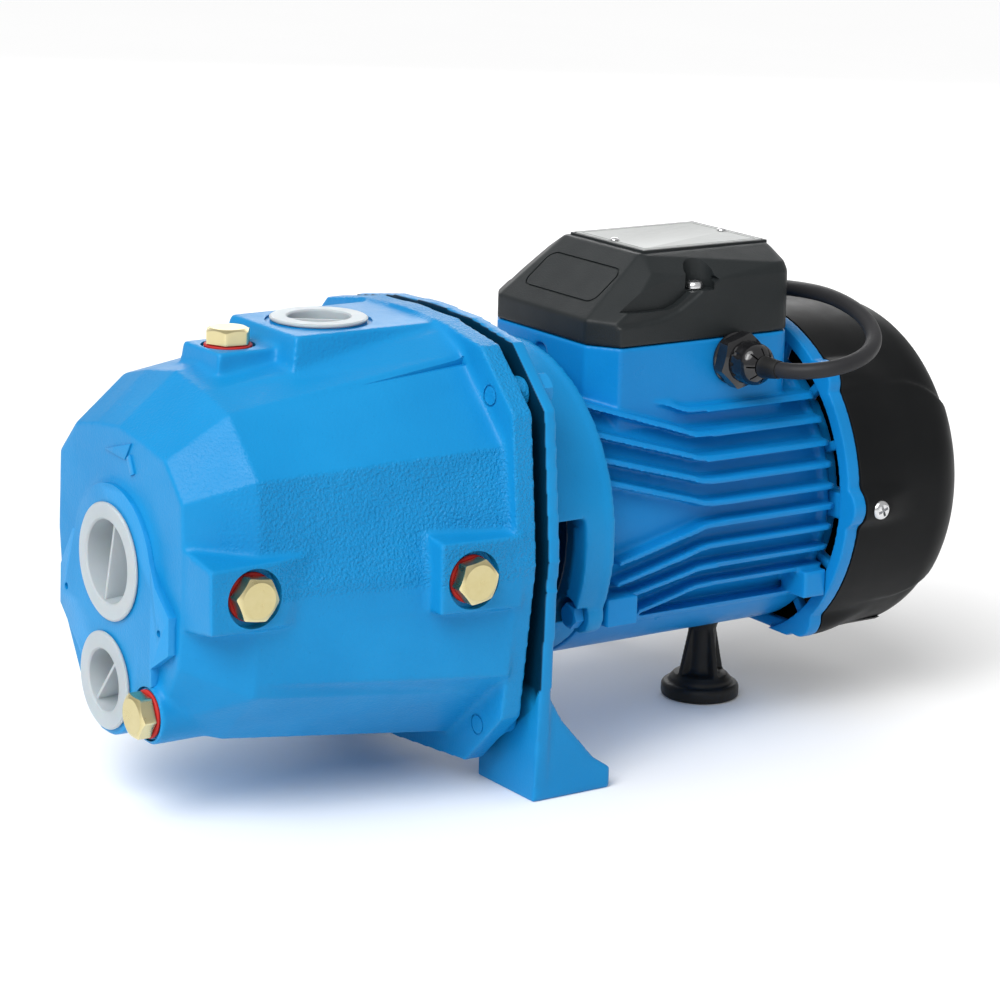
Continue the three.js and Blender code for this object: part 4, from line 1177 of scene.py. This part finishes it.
def rounded_rectangle(x, y, corner, grow=0.0, steps=6):
    points = []
    for cx, cy, start in (
        (x[1] - corner, y[1] - corner, 0), (x[0] + corner, y[1] - corner, 90),
        (x[0] + corner, y[0] + corner, 180), (x[1] - corner, y[0] + corner, 270),
    ):
        for k in range(steps + 1):
            angle = math.radians(start + 90 * k / steps)
            reach = corner + grow
            points.append((cx + reach * math.cos(angle), cy + reach * math.sin(angle)))
    return points


def incline_frame(x, y, corner, groove, deep):
    """A rounded frame line cut into the sloping front of the cover."""
    outside, inside = (rounded_rectangle(x, y, corner, grow, 8) for grow in (groove / 2, -groove / 2))
    ring = without(prism("z", outside, -deep, 2), [prism("z", inside, -deep - 1, 3)])
    slope = Vector((24.4, 0, 19.6)).normalized()
    side = Vector((0, -1, 0))
    basis = Matrix((side, slope, side.cross(slope))).transposed().to_4x4()
    return moved(ring, Matrix.Translation((56.6 - 0.02, 0, 190.6)) @ basis)


def lid():
    outer = lid_block(0.0, LID_SEAM, LID_TOP)
    fold = [
        (58, 188.6), (74, 188.8), (88, 190.4), (97, 193.2), (106, 198.4), (113, 203.4), (120, 206.6),
        (120, 220), (58, 220),
    ]
    leaf = [
        (64.6, 194.6), (67.4, 198.4), (70.5, 202.0), (74.4, 205.4), (78.5, 208.0), (84, 209.8), (92, 210.4),
        (105, 209.6), (116, 207.6), (118.4, 205.6), (112, 201.2), (104, 200.6), (101.0, 198.3), (96.6, 195.6),
        (92, 194.1), (78, 193.9),
    ]
    at = LID_SCREW[0]
    scoops = [disc("z", (at, side * 41.5), 7.0, LID_SCREW[2], 222, 48) for side in (-1, 1)]
    skin = cast(without(outer, both(fold, 44.6, 48)), 0.62, 5, 0.35)
    cavity = lid_block(LID_CAVITY, LID_SEAM - 2, LID_TOP - LID_CAVITY)
    within = lid_block(1.0, LID_SEAM, LID_TOP - 1)
    posts = [common(disc("z", (at, side * 40), 10.5, LID_SEAM, 214, 48), within) for side in (-1, 1)]
    cuts = [
        without(cavity, posts), *both(leaf, 41.2, 48), *scoops,
        *[disc("z", (at, side * LID_SCREW[1]), 2.3, 150, 208, 32) for side in (-1, 1)],
        incline_frame((-25, 27), (9.5, 30.0), 5.0, 0.9, 0.55),
    ]
    inner, outline = (
        box((PLATE_SPAN[0] - grow, PLATE_SPAN[1] + grow), (-PLATE_HALF - wide, PLATE_HALF + wide), height)
        for grow, wide, height in (
            (0.35, 0.35, (LID_TOP - 2, LID_TOP + 2)), (1.45, 1.5, (LID_TOP - 1.4, LID_TOP + 1.0)),
        )
    )
    made = union([without(skin, cuts), eased(without(outline, [inner]), 0.25)])
    show("lid_skin", made, lid_plastic, "terminal_lid", ("terminal_cover",), 32.0)


def nameplate():
    low = LID_TOP + GAP
    wide = (-PLATE_HALF, PLATE_HALF)
    sheet = prism("z", rounded_rectangle(PLATE_SPAN, wide, 1.6), low, low + 0.8)
    line = without(
        prism("z", rounded_rectangle(PLATE_SPAN, wide, 3.4, -2.0), low + 0.62, low + 2),
        [prism("z", rounded_rectangle(PLATE_SPAN, wide, 3.4, -2.6), low, low + 3)],
    )
    rivets = (PLATE_SPAN[0] + 3, PLATE_SPAN[1] - 3)
    holes = [disc("z", (x, 0), 1.3, low - 1, low + 2, 24) for x in rivets]
    made = without(eased(sheet, 0.12), [line, *holes])
    show("nameplate_look", made, plate_metal, "terminal_lid", ("nameplate",), 25.0)
    for k, x in enumerate(rivets):
        top = low + 0.8 + GAP
        head = spun([
            (0, top + 1.0), (0.9, top + 0.93), (1.5, top + 0.7), (1.95, top + 0.35), (2.1, top), (1.0, top),
            (1.0, low - 0.2), (0, low - 0.2),
        ], 40)
        head = moved(head, Matrix.Translation((x, 0, 0)))
        name = f"nameplate_rivet_{k + 1}"
        show(name + "_look", head, bright_steel, "terminal_lid", (name,))


def gland():
    spot = (GLAND_X, -BOX["half"], GLAND_Z)
    collar = spun([(0, GAP), (11.3, GAP), (11.6, 0.7), (11.6, 1.7), (11.0, 2.2), (0, 2.2)])
    body = union([hex_head(22, 2.0, 9.0, 0.8), collar, disc("z", (0, 0), 6, -5, 3, 48)])
    show("gland_body_look", placed(body, "near", spot, 17), gloss_nylon, ROOT, ("gland_body",))

    start = 9.0 + GAP
    rings = []
    outline = [
        (0.0, 9.0, 0.0), (0.3, 9.4, 1.0), (4.6, 9.4, 1.0), (5.4, 9.1, 0.4), (6.6, 9.2, 0.0), (8.0, 8.9, 0.0),
        (9.4, 8.1, 0.0), (10.6, 6.9, 0.0), (11.5, 5.7, 0.0), (11.9, 5.1, 0.0), (12.0, 4.7, 0.0),
    ]
    for k in range(120):
        angle = 2 * math.pi * k / 120
        flute = 0.32 * max(0.0, math.cos(12 * angle)) ** 2
        ring = [(r - flute * deep, start + z) for z, r, deep in outline] + [(3.8, start + 12.0), (3.8, start)]
        rings.append([(r * math.cos(angle), r * math.sin(angle), z) for r, z in ring])
    tooth = ((4.1, 9), (-0.35, 0.35), (start + 9.6, start + 13))
    teeth = [moved(box(*tooth), Matrix.Rotation(math.pi / 4 * k, 4, "Z")) for k in range(8)]
    nut = without(loft(rings, closed=True), teeth)
    show("gland_nut_look", placed(nut, "near", spot), gloss_nylon, ROOT, ("gland_nut",))

    path = lead_line()[:5]
    along = np.linspace(0, 1, len(path))
    sleeve = swept(path, 4.9 - 0.95 * along, 32, 3.6)
    show("lead_sleeve", sleeve, foot_rubber, ROOT, ())


def rear_foot():
    stem = spun([
        (0, 0), (16.6, 0), (17.7, 0.5), (18, 1.5), (18, 5.0), (17.5, 5.9), (15.3, 6.7), (14.6, 7.2),
        (14.3, 8.6), (13.2, 9.6), (12.5, 10.7), (8.4, 11.5), (7.2, 13.2), (6.6, 20), (6.4, 32), (7.0, 34.4),
        (7.7, 35.4), (7.7, 37.5), (0, 37.5),
    ], 96)
    gusset = prism("y", [(-12.8, 8.5), (12.8, 8.5), (6.6, 35), (-6.6, 35)], -1.4, 1.4)
    crossed = moved(gusset.copy(), Matrix.Rotation(math.pi / 2, 4, "Z"))
    ring = spun([(15.6, 6.2), (16.4, 5.7), (17.2, 6.3), (16.4, 6.9)], 96)
    made = cast(union([stem, gusset, crossed, ring]), 0.5, 2, 0.3)
    made = moved(made, Matrix.Translation((REAR_FOOT_X, 0, 0)))
    show("rear_foot_look", made, foot_rubber, ROOT, ("rear_foot",))


def mains_plug():
    start, y, z = COIL[0] + 42, COIL[1] + 42, 12.0

    def section(x, wide, tall, square):
        ring = []
        for k in range(72):
            angle = 2 * math.pi * k / 72
            c, s = math.cos(angle), math.sin(angle)
            r = 1 / (abs(c) ** square + abs(s) ** square) ** (1 / square)
            ring.append((start + x, y + wide * r * c, z + tall * r * s))
        return ring

    rings = []
    for k in range(6):
        for step, size in ((0, 5.0), (0.25, 5.5), (1.5, 5.5), (1.8, 4.6), (2.7, 4.6)):
            rings.append(section(0.3 + 2.9 * k + step, size, size, 2))
    for shape in (
        (18.2, 6.6, 6.2, 2.2), (21, 9.5, 8.2, 2.4), (24.5, 14.2, 10.4, 2.8), (28, 17.2, 11.6, 3.2),
        (33, 18, 12, 3.8), (42, 17.4, 11.7, 3.8), (47.5, 17.6, 11.8, 3.8), (49.4, 17, 11.2, 3.8),
        (50, 15.8, 10, 3.6),
    ):
        rings.append(section(*shape))
    pins = []
    for side in (-9.5, 9.5):
        pin = spun([(0, 49), (2.4, 49), (2.4, 67.6), (2.1, 68.5), (1.4, 69), (0, 69)], 40)
        pins.append(placed(pin, "rear", (start, y + side, z)))
    show("mains_plug_look", loft(rings), cable_sheath, ROOT, ("mains_plug",), 40.0)
    show("plug_pins", union(pins), bright_steel, ROOT, ())


lid()
nameplate()
gland()
rear_foot()
mains_plug()
cord()

# ---- CAD nodes that keep their shape ----------------------------------------
PLAIN = {
    "diffuser": cover_plastic,
    "capacitor": cover_plastic,
    "cooling_fan": cover_plastic,
    "impeller": zinc_yellow,
    "impeller_nut": bright_steel,
    "shaft": bright_steel,
    "stator_core": iron_stack,
    "rotor_core": iron_stack,
    "winding_front": copper_wire,
    "winding_rear": copper_wire,
    "terminal_block": pale_ceramic,
    "seal_seat": pale_ceramic,
    "seal_head": foot_rubber,
    "casing_seal_ring": foot_rubber,
}
for name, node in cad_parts.items():
    if name in PLAIN:
        finish = PLAIN[name]
    elif "washer" in name:
        finish = red_fibre
    elif "gauge_plug" in name or name in ("priming_plug", "drain_plug"):
        finish = zinc_yellow
    elif "clamp_bolt" in name:
        finish = pump_paint
    elif "tie_bolt" in name:
        finish = motor_paint
    else:
        finish = bright_steel
    node.data.materials.clear()
    node.data.materials.append(finish)


# ---- Stage ------------------------------------------------------------------
def stage():
    mesh = bpy.data.meshes.new("floor")
    size = 40.0
    corners = [(-size, -size, 0), (size, -size, 0), (size, size, 0), (-size, size, 0)]
    mesh.from_pydata(corners, [], [(0, 1, 2, 3)])
    floor = bpy.data.objects.new("floor", mesh)
    made = Paint("floor_paint")
    made.colour(made.mix(made.spread(made.noise(3.0), 0.3, 0.7), (0.98, 0.98, 0.98), (0.99, 0.99, 0.99)))
    made.fixed(Roughness=0.9)
    mesh.materials.append(made.material)
    scene.collection.objects.link(floor)

    world = bpy.data.worlds.new("studio")
    scene.world = world
    world.use_nodes = True
    back = world.node_tree.nodes["Background"]
    back.inputs["Color"].default_value = (1.0, 1.0, 1.0, 1.0)
    back.inputs["Strength"].default_value = 0.52

    def softbox(name, spot, aim, size_x, size_y, power):
        data = bpy.data.lights.new(name, "AREA")
        data.shape = "RECTANGLE"
        data.size, data.size_y = size_x, size_y
        data.energy = power
        place_lamp(name, data, spot, aim)

    def place_lamp(name, data, spot, aim):
        lamp = bpy.data.objects.new(name, data)
        lamp.location = spot
        lamp.rotation_euler = (Vector(aim) - Vector(spot)).to_track_quat("-Z", "Y").to_euler()
        scene.collection.objects.link(lamp)

    wash = bpy.data.lights.new("wash", "SUN")
    wash.energy = 2.0
    wash.angle = math.radians(50)
    place_lamp("wash", wash, (-0.70, -0.34, 1.0), (0, 0, 0.1))
    softbox("key", (-1.15, -0.6, 1.3), (0, 0, 0.1), 0.5, 0.9, 9)
    softbox("back", (1.15, 1.7, 1.0), (0, 0, 0.1), 1.8, 0.8, 13)


stage()
